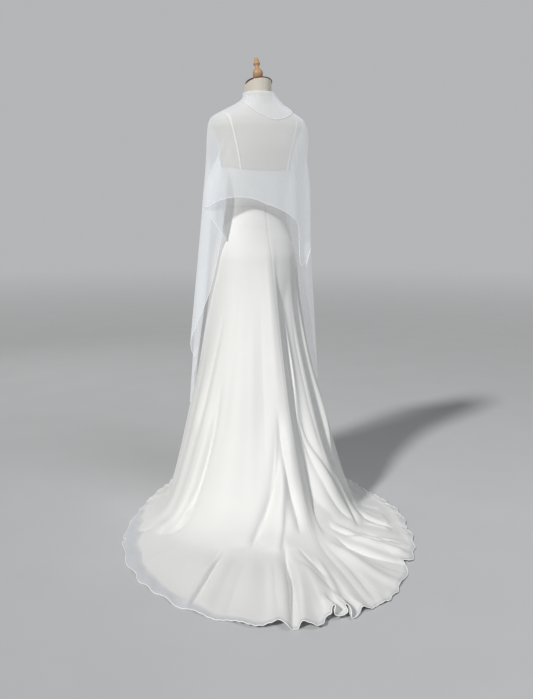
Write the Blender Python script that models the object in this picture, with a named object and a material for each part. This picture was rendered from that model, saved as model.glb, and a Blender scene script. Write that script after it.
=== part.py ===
"""A wedding gown with a court train and a chiffon shawl, on a limbless dress form.

Metres, +Z up. The origin is the centre of the stand's underside, on the floor.
The gown's front faces -Y and its train spreads toward +Y.
Angles are in degrees round the upright axis, from +Y (the centre back) toward +X.
"""

from math import cos, radians, tan

import bpy
import numpy as np

# Sizes that drive the rest, in metres.
TOTAL_HEIGHT = 1.700
WAIST_HEIGHT = 1.143
HIP_HEIGHT = 0.950
BACK_EDGE_HEIGHT = 1.275
SIDE_EDGE_HEIGHT = 1.290
CUP_EDGE_HEIGHT = 1.362
FRONT_DIP_HEIGHT = 1.285
TORSO_FOOT_HEIGHT = 0.850
NECK_BEND_HEIGHT = 1.555
NECK_TOP_HEIGHT = 1.600
NECK_CENTRE_BACK = 0.0165
NECK_TOP_TILT = 17.0
CAP_RADIUS = 0.0515
CAP_THICKNESS = 0.0065
POLE_RADIUS = 0.0140
BASE_RADIUS = 0.1600
BASE_THICKNESS = 0.0160

# Cloth walls and the gap at each seam.
GOWN_WALL = 0.0015
SHAWL_WALL = 0.0010
LINING_WALL = 0.0010
SEAM_GAP = 0.0003
CENTRE_SEAM_THREAD = 3.0
SIDE_SEAM_ANGLE = 90.0

# What is left of the height for the knob, between the cap's two seams and the top.
FINIAL_LENGTH = (TOTAL_HEIGHT - NECK_TOP_HEIGHT) / cos(radians(NECK_TOP_TILT)) - CAP_THICKNESS - 2 * SEAM_GAP

# Room between the form and the gown, which rests on it at the waist.
BODY_EASE = 0.0035
WAIST_EASE = 0.0009
WAIST_BAND = 0.020

# The straps: their section, how far the shoulder holds them off the form, and where
# they are sewn to the bodice's edge.
STRAP_WIDTH = 0.0055
STRAP_THICKNESS = 0.0012
STRAP_ROOM = 0.0016
STRAP_CREST_ROOM = 0.0050
STRAP_CREST_SHARE = 0.58
STRAP_BACK_ANGLE = 52.0
STRAP_FRONT_ANGLE = 140.0
STRAP_FOOT_GAP = 0.0010
STRAP_HUB_HEIGHT = 1.36

# The two soft swellings of the cups: how far from the centre back, how wide, how high.
CUP_ANGLE = 146.0
CUP_SPREAD = 21.0
CUP_HEIGHT = 1.315
CUP_REACH = 0.040
CUP_RISE = 0.013

# How the skirt hangs: its flare, and the heights between which its threads lean sideways.
FLARE_TOP = 1.060
FLARE_POWER = 1.50
THREAD_LEAN_FOOT = 0.28
THREAD_LEAN_TOP = 0.96
TRAIN_LIFT = 0.012
DEEPEST_CREASE = 0.030
FOLD_NECK = 0.45
HEM_WAVE_LENGTH = 0.072
HEM_WAVE_HEIGHT = 0.0045
HEM_WAVE_SWAY = 0.005
HEM_WAVE_REACH = 0.10
FRILL_ANGLE = 8.0
FRILL_SPREAD = 4.0
FRILL_HEIGHT = 0.016

# Heights of the skirt's rows of points, down to where its rows follow the hem instead.
HANGING_ROWS = (1.143, 1.060, 0.970, 0.880, 0.770, 0.650, 0.530, 0.410, 0.300, 0.195)
LANDING_HEIGHT = 0.100
LAST_COARSE_SHARE = 0.94
HEM_SHARES = (0.965, 1.0)

# The lining's edge: how far inside the hem, how wide, its ends and the room above it.
LINING_SETBACK = 0.050
LINING_WIDTH = 0.060
LINING_ROOM = 0.0020
LINING_FIRST_ANGLE = -40.0
LINING_LAST_ANGLE = 74.0

# Rings of the gown's body, which the form fills: height, half width, depth in front of
# the axis, depth behind it, how far the ring leans toward +X.
BODY_RINGS = (
    (0.850, 0.148, 0.098, 0.110, 0.013),
    (0.900, 0.154, 0.102, 0.116, 0.013),
    (0.945, 0.157, 0.103, 0.119, 0.013),
    (1.010, 0.147, 0.098, 0.108, 0.013),
    (1.075, 0.132, 0.090, 0.093, 0.013),
    (1.143, 0.118, 0.083, 0.080, 0.012),
    (1.210, 0.124, 0.095, 0.083, 0.008),
    (1.270, 0.134, 0.108, 0.090, 0.004),
    (1.320, 0.140, 0.116, 0.096, 0.001),
    (1.370, 0.150, 0.104, 0.103, 0.000),
    (1.415, 0.168, 0.080, 0.104, 0.000),
    (1.445, 0.182, 0.064, 0.101, 0.000),
    (1.470, 0.172, 0.055, 0.094, 0.000),
    (1.490, 0.138, 0.050, 0.086, 0.000),
    (1.508, 0.094, 0.045, 0.079, 0.000),
    (1.528, 0.062, 0.039, 0.072, 0.000),
    (1.555, 0.052, 0.035, 0.068, 0.000),
    (1.600, 0.050, 0.034, 0.067, 0.000),
)
RING_SQUARENESS = 2.2
SHOULDER_ROWS = slice(11, 15)
FORM_SIDES = 32
FORM_MORE_HEIGHTS = (1.108, 1.168, 1.343, 1.392)

# Floor line of the skirt: angle, radius where the cloth lands, radius of its edge, and
# how soft the bend is where it turns onto the floor.
HEM_LINE = (
    (-180, 0.335, 0.355, 0.026),
    (-140, 0.340, 0.370, 0.026),
    (-110, 0.345, 0.385, 0.028),
    (-84, 0.350, 0.405, 0.030),
    (-67, 0.358, 0.440, 0.034),
    (-55, 0.378, 0.512, 0.040),
    (-45, 0.408, 0.582, 0.046),
    (-33, 0.455, 0.672, 0.052),
    (-23, 0.505, 0.778, 0.058),
    (-10, 0.560, 0.925, 0.062),
    (0, 0.580, 1.068, 0.065),
    (12, 0.590, 1.158, 0.068),
    (22, 0.590, 1.130, 0.068),
    (32, 0.580, 1.050, 0.065),
    (45, 0.550, 0.905, 0.062),
    (55, 0.512, 0.780, 0.060),
    (65, 0.464, 0.668, 0.058),
    (77, 0.412, 0.548, 0.054),
    (93, 0.366, 0.452, 0.046),
    (120, 0.340, 0.382, 0.030),
    (150, 0.338, 0.360, 0.026),
    (180, 0.335, 0.355, 0.026),
)

# How far the skirt's threads lean sideways by the hip: angle at the floor, lean.
THREAD_LEAN = (
    (-180, 0.0),
    (-92, 0.0),
    (-77, -9.0),
    (-58, -20.0),
    (-45, -25.0),
    (-34, -27.0),
    (-22, -27.0),
    (-10, -18.0),
    (-1.5, -12.0),
    (3, -5.0),
    (12, 0.0),
    (60, 0.0),
    (180, 0.0),
)

# Folds of the skirt, ridges with a positive rise and creases with a negative one.
# Columns: height of the top, of the foot (below the floor means along the train),
# thread at the top, halfway and at the foot, rise, half width toward +X, half width
# toward -X, share of the rise that is left at the foot. A thread is the angle at which
# a lengthwise thread of the cloth meets the floor.
FOLDS = (
    (0.62, -0.22, 66.0, 63.0, 66.0, 0.012, 0.060, 0.045, 0.0),
    (0.56, -0.22, 46.0, 47.0, 54.0, -0.013, 0.028, 0.020, 0.0),
    (0.70, -0.15, 32.0, 33.0, 38.0, 0.008, 0.080, 0.080, 0.0),
    (0.40, -0.14, 11.0, 16.0, 25.0, -0.010, 0.030, 0.022, 0.0),
    (0.30, -0.20, 10.4, 12.0, 15.5, 0.009, 0.026, 0.024, 0.0),
    (0.42, -0.03, 8.6, 8.0, 7.0, -0.008, 0.022, 0.020, 0.0),
    (1.10, -0.14, 2.5, 3.0, 3.5, 0.020, 0.060, 0.024, 0.1),
    (1.08, -0.06, -2.4, -2.2, -1.8, -0.026, 0.020, 0.026, 0.0),
    (1.06, -0.08, -10.4, -10.8, -11.0, 0.012, 0.036, 0.034, 0.0),
    (0.42, -0.08, -2.5, -10.0, -17.5, -0.008, 0.018, 0.014, 0.0),
    (1.02, -0.02, -23.0, -22.5, -22.5, -0.022, 0.024, 0.024, 0.0),
    (0.92, -0.08, -33.0, -33.0, -33.0, 0.012, 0.032, 0.030, 0.0),
    (0.60, -0.02, -44.0, -43.0, -43.0, -0.010, 0.018, 0.018, 0.0),
    (0.66, -0.06, -58.0, -57.0, -56.0, 0.006, 0.030, 0.030, 0.0),
    (0.60, -0.02, -77.0, -76.0, -75.0, -0.010, 0.022, 0.022, 0.0),
    (0.55, -0.05, -100.0, -98.0, -95.0, 0.012, 0.030, 0.030, 0.5),
    (0.65, -0.05, -128.0, -124.0, -121.0, 0.014, 0.034, 0.030, 0.6),
    (0.60, -0.05, -150.0, -147.0, -148.0, 0.012, 0.034, 0.034, 0.6),
    (0.70, -0.05, 180.0, 181.0, 183.0, 0.014, 0.036, 0.032, 0.6),
    (0.60, -0.05, 156.0, 154.0, 153.0, 0.012, 0.032, 0.034, 0.6),
    (0.68, -0.05, 130.0, 128.0, 126.0, 0.014, 0.034, 0.030, 0.6),
    (0.55, -0.05, 106.0, 103.0, 101.0, 0.008, 0.030, 0.030, 0.5),
    (0.50, -0.08, 88.0, 86.0, 85.0, -0.010, 0.026, 0.024, 0.0),
    (-0.06, -0.72, 31.0, 32.3, 33.0, -0.014, 0.045, 0.026, 0.0),
    (-0.05, -0.92, 22.0, 21.5, 20.5, 0.012, 0.070, 0.045, 0.0),
    (-0.02, -1.00, 12.6, 14.2, 16.0, -0.020, 0.036, 0.018, 0.9),
    (-0.05, -0.90, 9.0, 9.6, 10.6, 0.015, 0.036, 0.040, 0.3),
    (0.02, -0.80, 1.5, 2.7, 3.0, -0.013, 0.028, 0.026, 0.0),
    (-0.05, -0.66, -1.2, -3.0, -6.6, 0.014, 0.028, 0.028, 0.0),
    (-0.05, -0.64, -4.2, -8.0, -13.5, -0.016, 0.026, 0.014, 0.0),
    (-0.02, -0.50, -8.8, -12.6, -17.5, 0.014, 0.028, 0.028, 0.0),
    (0.06, -0.36, -2.5, -11.5, -21.0, -0.010, 0.020, 0.018, 0.0),
    (0.04, -0.32, -25.0, -26.0, -28.0, -0.010, 0.024, 0.022, 0.0),
)

# The shawl over the neck and shoulders: height, reach toward +X, reach toward -X,
# depth in front of the axis, depth behind it.
SHAWL_RINGS = (
    (1.568, 0.055, 0.058, 0.039, 0.071),
    (1.546, 0.060, 0.074, 0.042, 0.075),
    (1.528, 0.083, 0.093, 0.046, 0.080),
    (1.510, 0.117, 0.118, 0.053, 0.087),
    (1.492, 0.152, 0.152, 0.059, 0.094),
    (1.474, 0.181, 0.181, 0.064, 0.101),
    (1.450, 0.193, 0.197, 0.074, 0.108),
    (1.415, 0.197, 0.203, 0.092, 0.112),
    (1.370, 0.200, 0.206, 0.118, 0.116),
    (1.300, 0.204, 0.208, 0.132, 0.116),
    (1.180, 0.212, 0.214, 0.136, 0.113),
)
SHAWL_ROWS = (1.568, 1.544, 1.524, 1.504, 1.484, 1.464, 1.440, 1.400, 1.340, 1.270, 1.200)
SHAWL_FREE_HEIGHT = 1.420
SHAWL_HANG_HEIGHT = 1.190
SHAWL_REST = 0.0140

# How the shawl hangs below the shoulders, from the centre back round each side.
# Columns: angle on the shoulder, place toward +X and toward +Y at the waist, height of
# its edge. Its tails spread outward below the waist by a share for each metre.
SHAWL_LEFT = (
    (0.0, 0.000, 0.113, 1.152),
    (18.0, 0.060, 0.114, 1.172),
    (34.0, 0.120, 0.114, 1.178),
    (48.0, 0.180, 0.104, 1.168),
    (60.0, 0.220, 0.084, 1.145),
    (65.0, 0.225, 0.066, 1.130),
    (74.0, 0.163, 0.082, 1.044),
    (78.0, 0.158, 0.064, 1.017),
    (84.0, 0.168, 0.040, 0.860),
    (90.0, 0.206, -0.012, 0.660),
    (94.0, 0.206, -0.034, 0.600),
    (101.0, 0.166, -0.044, 0.520),
    (105.0, 0.164, -0.066, 0.480),
    (116.0, 0.172, -0.146, 0.360),
    (128.0, 0.150, -0.172, 0.400),
)
SHAWL_RIGHT = (
    (0.0, 0.000, 0.113, 1.152),
    (-18.0, -0.050, 0.113, 1.134),
    (-34.0, -0.094, 0.108, 1.110),
    (-48.0, -0.138, 0.090, 1.058),
    (-54.0, -0.148, 0.072, 0.925),
    (-60.0, -0.180, 0.052, 0.935),
    (-66.0, -0.208, 0.034, 0.985),
    (-72.0, -0.190, 0.004, 0.860),
    (-80.0, -0.214, -0.030, 0.660),
    (-88.0, -0.242, -0.066, 0.460),
    (-92.0, -0.244, -0.090, 0.425),
    (-101.0, -0.206, -0.098, 0.400),
    (-105.0, -0.204, -0.120, 0.395),
    (-116.0, -0.226, -0.150, 0.375),
    (-128.0, -0.206, -0.176, 0.430),
)
LEFT_SPREAD = 0.50
RIGHT_SPREAD = 0.28
LEFT_FOLD_STATION = 5.0
RIGHT_FOLD_STATION = 4.0

# The collar, the shawl's upper edge turned down over it: angle and height of its edge.
COLLAR_EDGE = (
    (-74.0, 1.522),
    (-62.0, 1.499),
    (-40.0, 1.474),
    (-17.0, 1.462),
    (11.0, 1.478),
    (35.0, 1.506),
    (58.0, 1.532),
)
COLLAR_TOP_HEIGHT = 1.566
COLLAR_LIFT = 0.0036

# Each strap from the back edge over the shoulder to the cup: share of the way, place in X.
STRAP_LINE = (
    (0.00, 0.112),
    (0.30, 0.128),
    (0.58, 0.140),
    (0.80, 0.124),
    (1.00, 0.098),
)


def clear_scene():
    for thing in list(bpy.data.objects):
        bpy.data.objects.remove(thing, do_unlink=True)


def curve_through(table, column, at):
    """Smooth curve through a table's rows, read at `at` and held level past its ends."""
    rows = np.array(table, dtype=float)
    places = rows[:, 0]
    values = rows[:, column]
    slopes = np.gradient(values, places)
    at = np.clip(at, places[0], places[-1])
    low = np.clip(np.searchsorted(places, at) - 1, 0, len(places) - 2)
    span = places[low + 1] - places[low]
    t = (at - places[low]) / span
    start = (2 * t**3 - 3 * t**2 + 1) * values[low] + (t**3 - 2 * t**2 + t) * span * slopes[low]
    finish = (3 * t**2 - 2 * t**3) * values[low + 1] + (t**3 - t**2) * span * slopes[low + 1]
    return start + finish


def round_curve(table, column, angle):
    """The same for a table that goes once round, from -180 to 180 degrees."""
    rows = np.array(table, dtype=float)
    before = rows[:-1].copy()
    before[:, 0] -= 360.0
    after = rows[1:].copy()
    after[:, 0] += 360.0
    wrapped = (np.asarray(angle) + 180.0) % 360.0 - 180.0
    return curve_through(np.concatenate([before, rows, after]), column, wrapped)


def ease_in(start, finish, at):
    """Runs softly from 0 at start to 1 at finish."""
    share = np.clip((at - start) / (finish - start), 0.0, 1.0)
    return share * share * (3.0 - 2.0 * share)


def soft_floor(value, least, softness):
    """Follows value, but bends softly so that it never falls under least."""
    scaled = np.clip((value - least) / softness, -50.0, 50.0)
    return least + softness * np.log1p(np.exp(scaled)) + np.maximum(value - least - 50 * softness, 0)


def ring_radius(angle, half_width, front, back):
    """Radius of a rounded section that reaches half_width at the sides."""
    side = np.abs(np.sin(np.radians(angle)))
    fore = np.cos(np.radians(angle))
    depth = np.where(fore > 0, back, front)
    power = RING_SQUARENESS
    return ((side / half_width) ** power + (np.abs(fore) / depth) ** power) ** (-1.0 / power)


def body_radius(angle, height):
    half_width = curve_through(BODY_RINGS, 1, height)
    front = curve_through(BODY_RINGS, 2, height)
    back = curve_through(BODY_RINGS, 3, height)
    lean = curve_through(BODY_RINGS, 4, height) * np.sin(np.radians(angle))
    return ring_radius(angle, half_width, front, back) + lean


def cup_rise(angle, height):
    """The bodice's shaped cups, two soft swellings in front."""
    away = (np.abs((np.asarray(angle) + 180.0) % 360.0 - 180.0) - CUP_ANGLE) / CUP_SPREAD
    up = (height - CUP_HEIGHT) / CUP_REACH
    return CUP_RISE * np.exp(-(away**2) - up**2)


def gown_inner_radius(angle, height):
    return body_radius(angle, height) + cup_rise(angle, height)


def on_axis(angle, radius, height):
    """World points of round coordinates."""
    turn = np.radians(angle)
    return np.stack([radius * np.sin(turn), radius * np.cos(turn), height + 0 * radius], axis=-1)


# The skirt. A point on its inner face is worked out from a thread, named by the angle at
# which it meets the floor, and a hanging height, which is the height that the cloth would
# have if it ran on straight through the floor.

def thread_angle(thread, hanging):
    """Angle of a thread at a height: straight near the floor, leaning sideways above."""
    share = np.clip((hanging - THREAD_LEAN_FOOT) / (THREAD_LEAN_TOP - THREAD_LEAN_FOOT), 0.0, 1.0)
    wrapped = (np.asarray(thread) + 180.0) % 360.0 - 180.0
    return thread + curve_through(THREAD_LEAN, 1, wrapped) * share * (0.35 + 0.65 * share)


def edge_hanging_height(thread):
    """Hanging height of the hem, below zero where the train lies on the floor."""
    hip = gown_inner_radius(thread, HIP_HEIGHT)
    landing = round_curve(HEM_LINE, 1, thread)
    edge = round_curve(HEM_LINE, 2, thread)
    return FLARE_TOP - FLARE_TOP * ((edge - hip) / (landing - hip)) ** (1.0 / FLARE_POWER)


def plain_skirt(thread, hanging):
    """Radius and height of the skirt with no folds: snug to the hip, then flaring."""
    angle = thread_angle(thread, hanging)
    hip = gown_inner_radius(angle, HIP_HEIGHT)
    landing = round_curve(HEM_LINE, 1, angle)
    below = np.clip((FLARE_TOP - hanging) / FLARE_TOP, 0.0, None)
    snug = gown_inner_radius(angle, np.clip(hanging, HIP_HEIGHT, WAIST_HEIGHT))
    radius = snug + (landing - hip) * below**FLARE_POWER
    return radius, soft_floor(hanging, 0.0, round_curve(HEM_LINE, 3, thread))


def fold_rise(thread, hanging, radius):
    """Sum of the folds: each has a curved centre line and a bell-shaped cross-section."""
    total = np.zeros(np.broadcast(thread, hanging).shape)
    for top, foot, at_top, halfway, at_foot, rise, toward_plus, toward_minus, left_over in FOLDS:
        along = (top - hanging) / (top - foot)
        way = np.clip(along, 0.0, 1.0)
        centre = at_top + (4 * halfway - 3 * at_top - at_foot) * way
        centre = centre + 2 * (at_top + at_foot - 2 * halfway) * way**2
        aside = (thread - centre + 180.0) % 360.0 - 180.0
        across = np.radians(aside) * radius
        width = np.where(across > 0, toward_plus, toward_minus) * (FOLD_NECK + (1 - FOLD_NECK) * way)
        fade = ease_in(0.0, 0.35, along) * (1.0 - (1.0 - left_over) * ease_in(0.75, 1.0, along))
        total = total + rise * fade * np.exp(-((across / width) ** 2))
    return total


def hem_wave(thread, hanging):
    """Ripples of the rolled hem, uneven in length, which fade out away from the edge."""
    edge = round_curve(HEM_LINE, 2, thread)
    run = np.radians(thread) * 0.5 * (edge + 0.75)
    phase = 2 * np.pi * run / HEM_WAVE_LENGTH + 1.3 * np.sin(run * 9.0) + 0.9 * np.sin(run * 21.0)
    frill = FRILL_HEIGHT * np.exp(-(((thread - FRILL_ANGLE) / FRILL_SPREAD) ** 2))
    height = (HEM_WAVE_HEIGHT + frill) * (0.75 + 0.25 * np.sin(run * 13.0 + 1.0))
    near = ease_in(HEM_WAVE_REACH, 0.0, hanging - edge_hanging_height(thread))
    return near * height * 0.5 * (1.0 + np.sin(phase)), near * HEM_WAVE_SWAY * np.cos(phase + 0.6)


def skirt_inner(thread, hanging):
    """World points of the skirt's inner face, with its folds and hem ripples."""
    step = 0.002
    radius, height = plain_skirt(thread, hanging)
    radius_below, height_below = plain_skirt(thread, hanging - step)
    outward = height - height_below
    upward = radius_below - radius
    length = np.hypot(outward, upward)
    # The cloth lies a little off the floor between its landing and the edge.
    train = edge_hanging_height(thread)
    lift = TRAIN_LIFT * ease_in(0.10, -0.10, hanging) * ease_in(train + 0.02, train + 0.35, hanging)
    rise = fold_rise(thread, hanging, radius) + lift
    # A crease is shallow where the cloth is close to the form and where it meets the floor.
    deepest = -DEEPEST_CREASE * ease_in(0.90, 0.62, hanging) * ease_in(0.03, 0.16, hanging)
    rise = soft_floor(rise, deepest, 0.0012) * ease_in(1.10, 0.97, hanging)
    ripple, sway = hem_wave(thread, hanging)
    radius = radius + rise * outward / length + sway
    over_lining = LINING_ROOM * ease_in(0.0, 0.03, hanging - train)
    height = np.maximum(height + rise * upward / length + ripple, over_lining)
    return on_axis(thread_angle(thread, hanging), radius, height)


def normals_of(surface, first, second, first_step, second_step):
    """Unit normals of a surface whose first parameter runs toward +X behind the axis and
    whose second runs upward: they point outward."""
    along_first = surface(first + first_step, second) - surface(first - first_step, second)
    along_second = surface(first, second + second_step) - surface(first, second - second_step)
    normal = np.cross(along_second, along_first)
    return normal / np.maximum(np.linalg.norm(normal, axis=-1, keepdims=True), 1e-12)


def square_to_seam(normal, points, at_seam):
    """Turns the normals along a seam into the upright plane through the axis."""
    around = np.stack([points[..., 1], -points[..., 0], 0 * points[..., 0]], axis=-1)
    around /= np.linalg.norm(around, axis=-1, keepdims=True)
    lean = np.sum(normal * around, axis=-1, keepdims=True) * at_seam[..., None]
    straight = normal - around * lean
    return straight / np.linalg.norm(straight, axis=-1, keepdims=True)


# Meshes.

def grid_triangles(rows, columns, start=0):
    """Two triangles for each cell of a grid of points kept row by row."""
    corner = start + (np.arange(rows - 1)[:, None] * columns + np.arange(columns - 1)[None, :]).ravel()
    right = corner + 1
    below = corner + columns
    across = below + 1
    return np.concatenate([np.stack([corner, right, across], 1), np.stack([corner, across, below], 1)])


def open_edges(triangles):
    """Directed edges that belong to one triangle only."""
    edges = np.concatenate([triangles[:, [0, 1]], triangles[:, [1, 2]], triangles[:, [2, 0]]])
    present = {(int(a), int(b)) for a, b in edges}
    return np.array([edge for edge in present if (edge[1], edge[0]) not in present])


def make_object(name, points, faces, material, sharp=35.0):
    """A closed mesh object whose faces point outward."""
    mesh = bpy.data.meshes.new(name)
    points = np.asarray(points, dtype=float)
    fan = [(face[0], face[k], face[k + 1]) for face in faces for k in range(1, len(face) - 1)]
    a, b, c = (points[np.array(fan)[:, k]] for k in range(3))
    volume = np.einsum("ij,ij->i", a, np.cross(b, c)).sum() / 6.0
    if volume < 0:
        faces = [tuple(reversed(face)) for face in faces]
    mesh.from_pydata(points.tolist(), [], [tuple(int(k) for k in face) for face in faces])
    mesh.materials.append(material)
    mesh.shade_smooth()
    mesh.set_sharp_from_angle(angle=radians(sharp))
    mesh.update()
    thing = bpy.data.objects.new(name, mesh)
    bpy.context.collection.objects.link(thing)
    return thing


def make_wall(name, near, far, triangles, material):
    """A closed wall between two faces that share their triangles."""
    count = len(near)
    rim = open_edges(triangles)
    faces = [tuple(t) for t in triangles] + [tuple(t[::-1] + count) for t in triangles]
    for start, finish in rim:
        faces.append((finish, start, start + count))
        faces.append((finish, start + count, finish + count))
    return make_object(name, np.concatenate([near, far]), faces, material)


def make_rings(name, rings, material, sharp=35.0):
    """A solid through rings of equal point counts, with a flat fan at each end."""
    rings = np.asarray(rings)
    count, around = rings.shape[:2]
    points = rings.reshape(-1, 3)
    middle = np.array([rings[0].mean(axis=0), rings[-1].mean(axis=0)])
    faces = []
    for ring in range(count - 1):
        for k in range(around):
            here = ring * around + k
            beside = ring * around + (k + 1) % around
            faces.append((here, beside, beside + around))
            faces.append((here, beside + around, here + around))
    first = count * around
    last = (count - 1) * around
    for k in range(around):
        faces.append((first, (k + 1) % around, k))
        faces.append((first + 1, last + k, last + (k + 1) % around))
    return make_object(name, np.concatenate([points, middle]), faces, material, sharp)


def make_material(name, colour, roughness, metallic=0.0):
    material = bpy.data.materials.new(name)
    material.use_nodes = True
    shader = material.node_tree.nodes["Principled BSDF"]
    shader.inputs["Base Color"].default_value = (*colour, 1.0)
    shader.inputs["Roughness"].default_value = roughness
    shader.inputs["Metallic"].default_value = metallic
    return material


# The dress form and its stand.

def neck_tilt(points, height):
    """Slants the neck's top down to the front, gradually from the neck's middle."""
    share = ease_in(NECK_BEND_HEIGHT, NECK_TOP_HEIGHT, height)
    slant = share * tan(radians(NECK_TOP_TILT)) * (points[..., 1] - NECK_CENTRE_BACK)
    points[..., 2] += slant
    return points


def form_ease(height):
    """How far the form stays inside the body's rings: least at the waist and the neck."""
    waist = np.exp(-(((height - WAIST_HEIGHT) / WAIST_BAND) ** 2))
    return (BODY_EASE + (WAIST_EASE - BODY_EASE) * waist) * ease_in(1.56, 1.50, height)


def build_form_torso(material):
    angles = np.linspace(-180, 180, FORM_SIDES, endpoint=False)
    rings = []
    for height in sorted([row[0] for row in BODY_RINGS] + list(FORM_MORE_HEIGHTS)):
        ring = on_axis(angles, body_radius(angles, height) - form_ease(height), height)
        rings.append(neck_tilt(ring, height))
    return make_rings("form_torso", rings, material, sharp=60.0)


def tilted_profile(profile, around):
    """Turned rings about the slanted axis that stands on the neck's top."""
    tilt = radians(NECK_TOP_TILT)
    axis = np.array([0.0, -np.sin(tilt), np.cos(tilt)])
    forward = np.array([0.0, np.cos(tilt), np.sin(tilt)])
    sideways = np.array([1.0, 0.0, 0.0])
    foot = np.array([0.0, NECK_CENTRE_BACK, NECK_TOP_HEIGHT])
    turn = np.linspace(0, 2 * np.pi, around, endpoint=False)
    circle = np.sin(turn)[:, None] * sideways + np.cos(turn)[:, None] * forward
    return [foot + axis * along + circle * radius for along, radius in profile]


def build_neck_cap(material):
    low = SEAM_GAP
    high = low + CAP_THICKNESS
    profile = (
        (low, CAP_RADIUS - 0.0015),
        (low + 0.0015, CAP_RADIUS),
        (high - 0.0025, CAP_RADIUS),
        (high - 0.0006, CAP_RADIUS - 0.0018),
        (high, CAP_RADIUS - 0.0045),
    )
    return make_rings("neck_cap", tilted_profile(profile, 30), material)


def build_finial(material):
    """A turned wooden knob: foot, tulip bulb, waist, a sharp collar and a small top."""
    foot = CAP_THICKNESS + 2 * SEAM_GAP
    shape = (
        (0.000, 0.0090),
        (0.030, 0.0094),
        (0.080, 0.0110),
        (0.140, 0.0136),
        (0.200, 0.0162),
        (0.270, 0.0188),
        (0.340, 0.0198),
        (0.400, 0.0194),
        (0.460, 0.0168),
        (0.520, 0.0120),
        (0.575, 0.0082),
        (0.630, 0.0078),
        (0.680, 0.0094),
        (0.725, 0.0126),
        (0.765, 0.0126),
        (0.820, 0.0106),
        (0.890, 0.0092),
        (0.950, 0.0066),
        (0.985, 0.0036),
        (1.000, 0.0010),
    )
    profile = [(foot + share * FINIAL_LENGTH, radius) for share, radius in shape]
    return make_rings("finial", tilted_profile(profile, 14), material)


def turned_upright(profile, around):
    turn = np.linspace(-180, 180, around, endpoint=False)
    return [on_axis(turn, np.full(around, radius), height) for height, radius in profile]


def build_pole(material):
    profile = ((BASE_THICKNESS + SEAM_GAP, POLE_RADIUS), (TORSO_FOOT_HEIGHT - SEAM_GAP, POLE_RADIUS))
    return make_rings("pole", turned_upright(profile, 20), material)


def build_stand_base(material):
    profile = (
        (0.0, BASE_RADIUS - 0.002),
        (0.002, BASE_RADIUS),
        (BASE_THICKNESS * 0.5, BASE_RADIUS),
        (BASE_THICKNESS * 0.72, BASE_RADIUS - 0.004),
        (BASE_THICKNESS, 0.045),
    )
    return make_rings("stand_base", turned_upright(profile, 40), material)


# The bodice and its straps.

def bodice_edge_height(angle):
    """Top edge: low across the back, rising under the arm to each cup, dipping in front."""
    away = np.abs((np.asarray(angle) + 180.0) % 360.0 - 180.0)
    back = BACK_EDGE_HEIGHT + (SIDE_EDGE_HEIGHT - BACK_EDGE_HEIGHT) * ease_in(20.0, 95.0, away)
    cup = (CUP_EDGE_HEIGHT - SIDE_EDGE_HEIGHT) * ease_in(98.0, 139.0, away)
    dip = (CUP_EDGE_HEIGHT - FRONT_DIP_HEIGHT) * ease_in(142.0, 180.0, away)
    return back + cup - dip


def bodice_inner(angle, share):
    """World points of the bodice's inner face, share 0 at the waist and 1 at the top edge."""
    low = WAIST_HEIGHT + SEAM_GAP / 2
    height = low + (bodice_edge_height(angle) - low) * share
    return on_axis(angle, gown_inner_radius(angle, height), height)


def seam_pull(first, last, count, radius):
    """Column angles with half a seam gap left at each end."""
    pull = np.degrees(SEAM_GAP / 2 / radius)
    return np.linspace(first + pull, last - pull, count)


def build_bodice_panel(name, first, last, columns, rows, material):
    angles = seam_pull(first, last, columns, 0.10)
    shares = np.linspace(0.0, 1.0, rows)
    angle, share = np.meshgrid(angles, shares)
    inner = bodice_inner(angle, share)
    normal = normals_of(bodice_inner, angle, share, 0.5, 0.01)
    normal = square_to_seam(normal, inner, (angle == angles[0]) | (angle == angles[-1]))
    outer = inner + GOWN_WALL * normal
    return make_wall(name, inner.reshape(-1, 3), outer.reshape(-1, 3),
                     grid_triangles(rows, columns), material)


def strap_foot(angle):
    """Where a strap meets the middle of the bodice's top edge, a little above it."""
    edge = float(bodice_edge_height(angle))
    return on_axis(angle, gown_inner_radius(angle, edge), edge + STRAP_FOOT_GAP)


def strap_path(stations):
    """Middle line of the left strap, from the back edge over the shoulder to the cup."""
    way = np.linspace(0.0, 1.0, stations)
    across = curve_through(STRAP_LINE, 1, way)
    shoulder = np.array(BODY_RINGS[SHOULDER_ROWS])
    crest = np.interp(-across, -shoulder[:, 1], shoulder[:, 0]) + STRAP_CREST_ROOM
    back_foot = strap_foot(STRAP_BACK_ANGLE)
    front_foot = strap_foot(STRAP_FRONT_ANGLE)
    rising = np.sin(np.clip(way / STRAP_CREST_SHARE, 0, 1) * np.pi / 2)
    falling = np.sin(np.clip((1 - way) / (1 - STRAP_CREST_SHARE), 0, 1) * np.pi / 2)
    height = np.where(way < STRAP_CREST_SHARE, back_foot[2] + (crest - back_foot[2]) * rising,
                      front_foot[2] + (crest - front_foot[2]) * falling)
    half_width = curve_through(BODY_RINGS, 1, height)
    room = np.clip(1 - (across / half_width) ** RING_SQUARENESS, 0.0, 1.0) ** (1 / RING_SQUARENESS)
    behind = curve_through(BODY_RINGS, 3, height) * room
    before = -curve_through(BODY_RINGS, 2, height) * room
    path = np.stack([across, np.where(way < STRAP_CREST_SHARE, behind, before), height], axis=-1)
    path[:, 1] = np.convolve(np.pad(path[:, 1], 1, mode="edge"), (0.25, 0.5, 0.25), mode="valid")
    path += ease_in(0.35, 0.0, way)[:, None] * (back_foot - path[0])
    path += ease_in(0.65, 1.0, way)[:, None] * (front_foot - path[-1])
    return path


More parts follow.
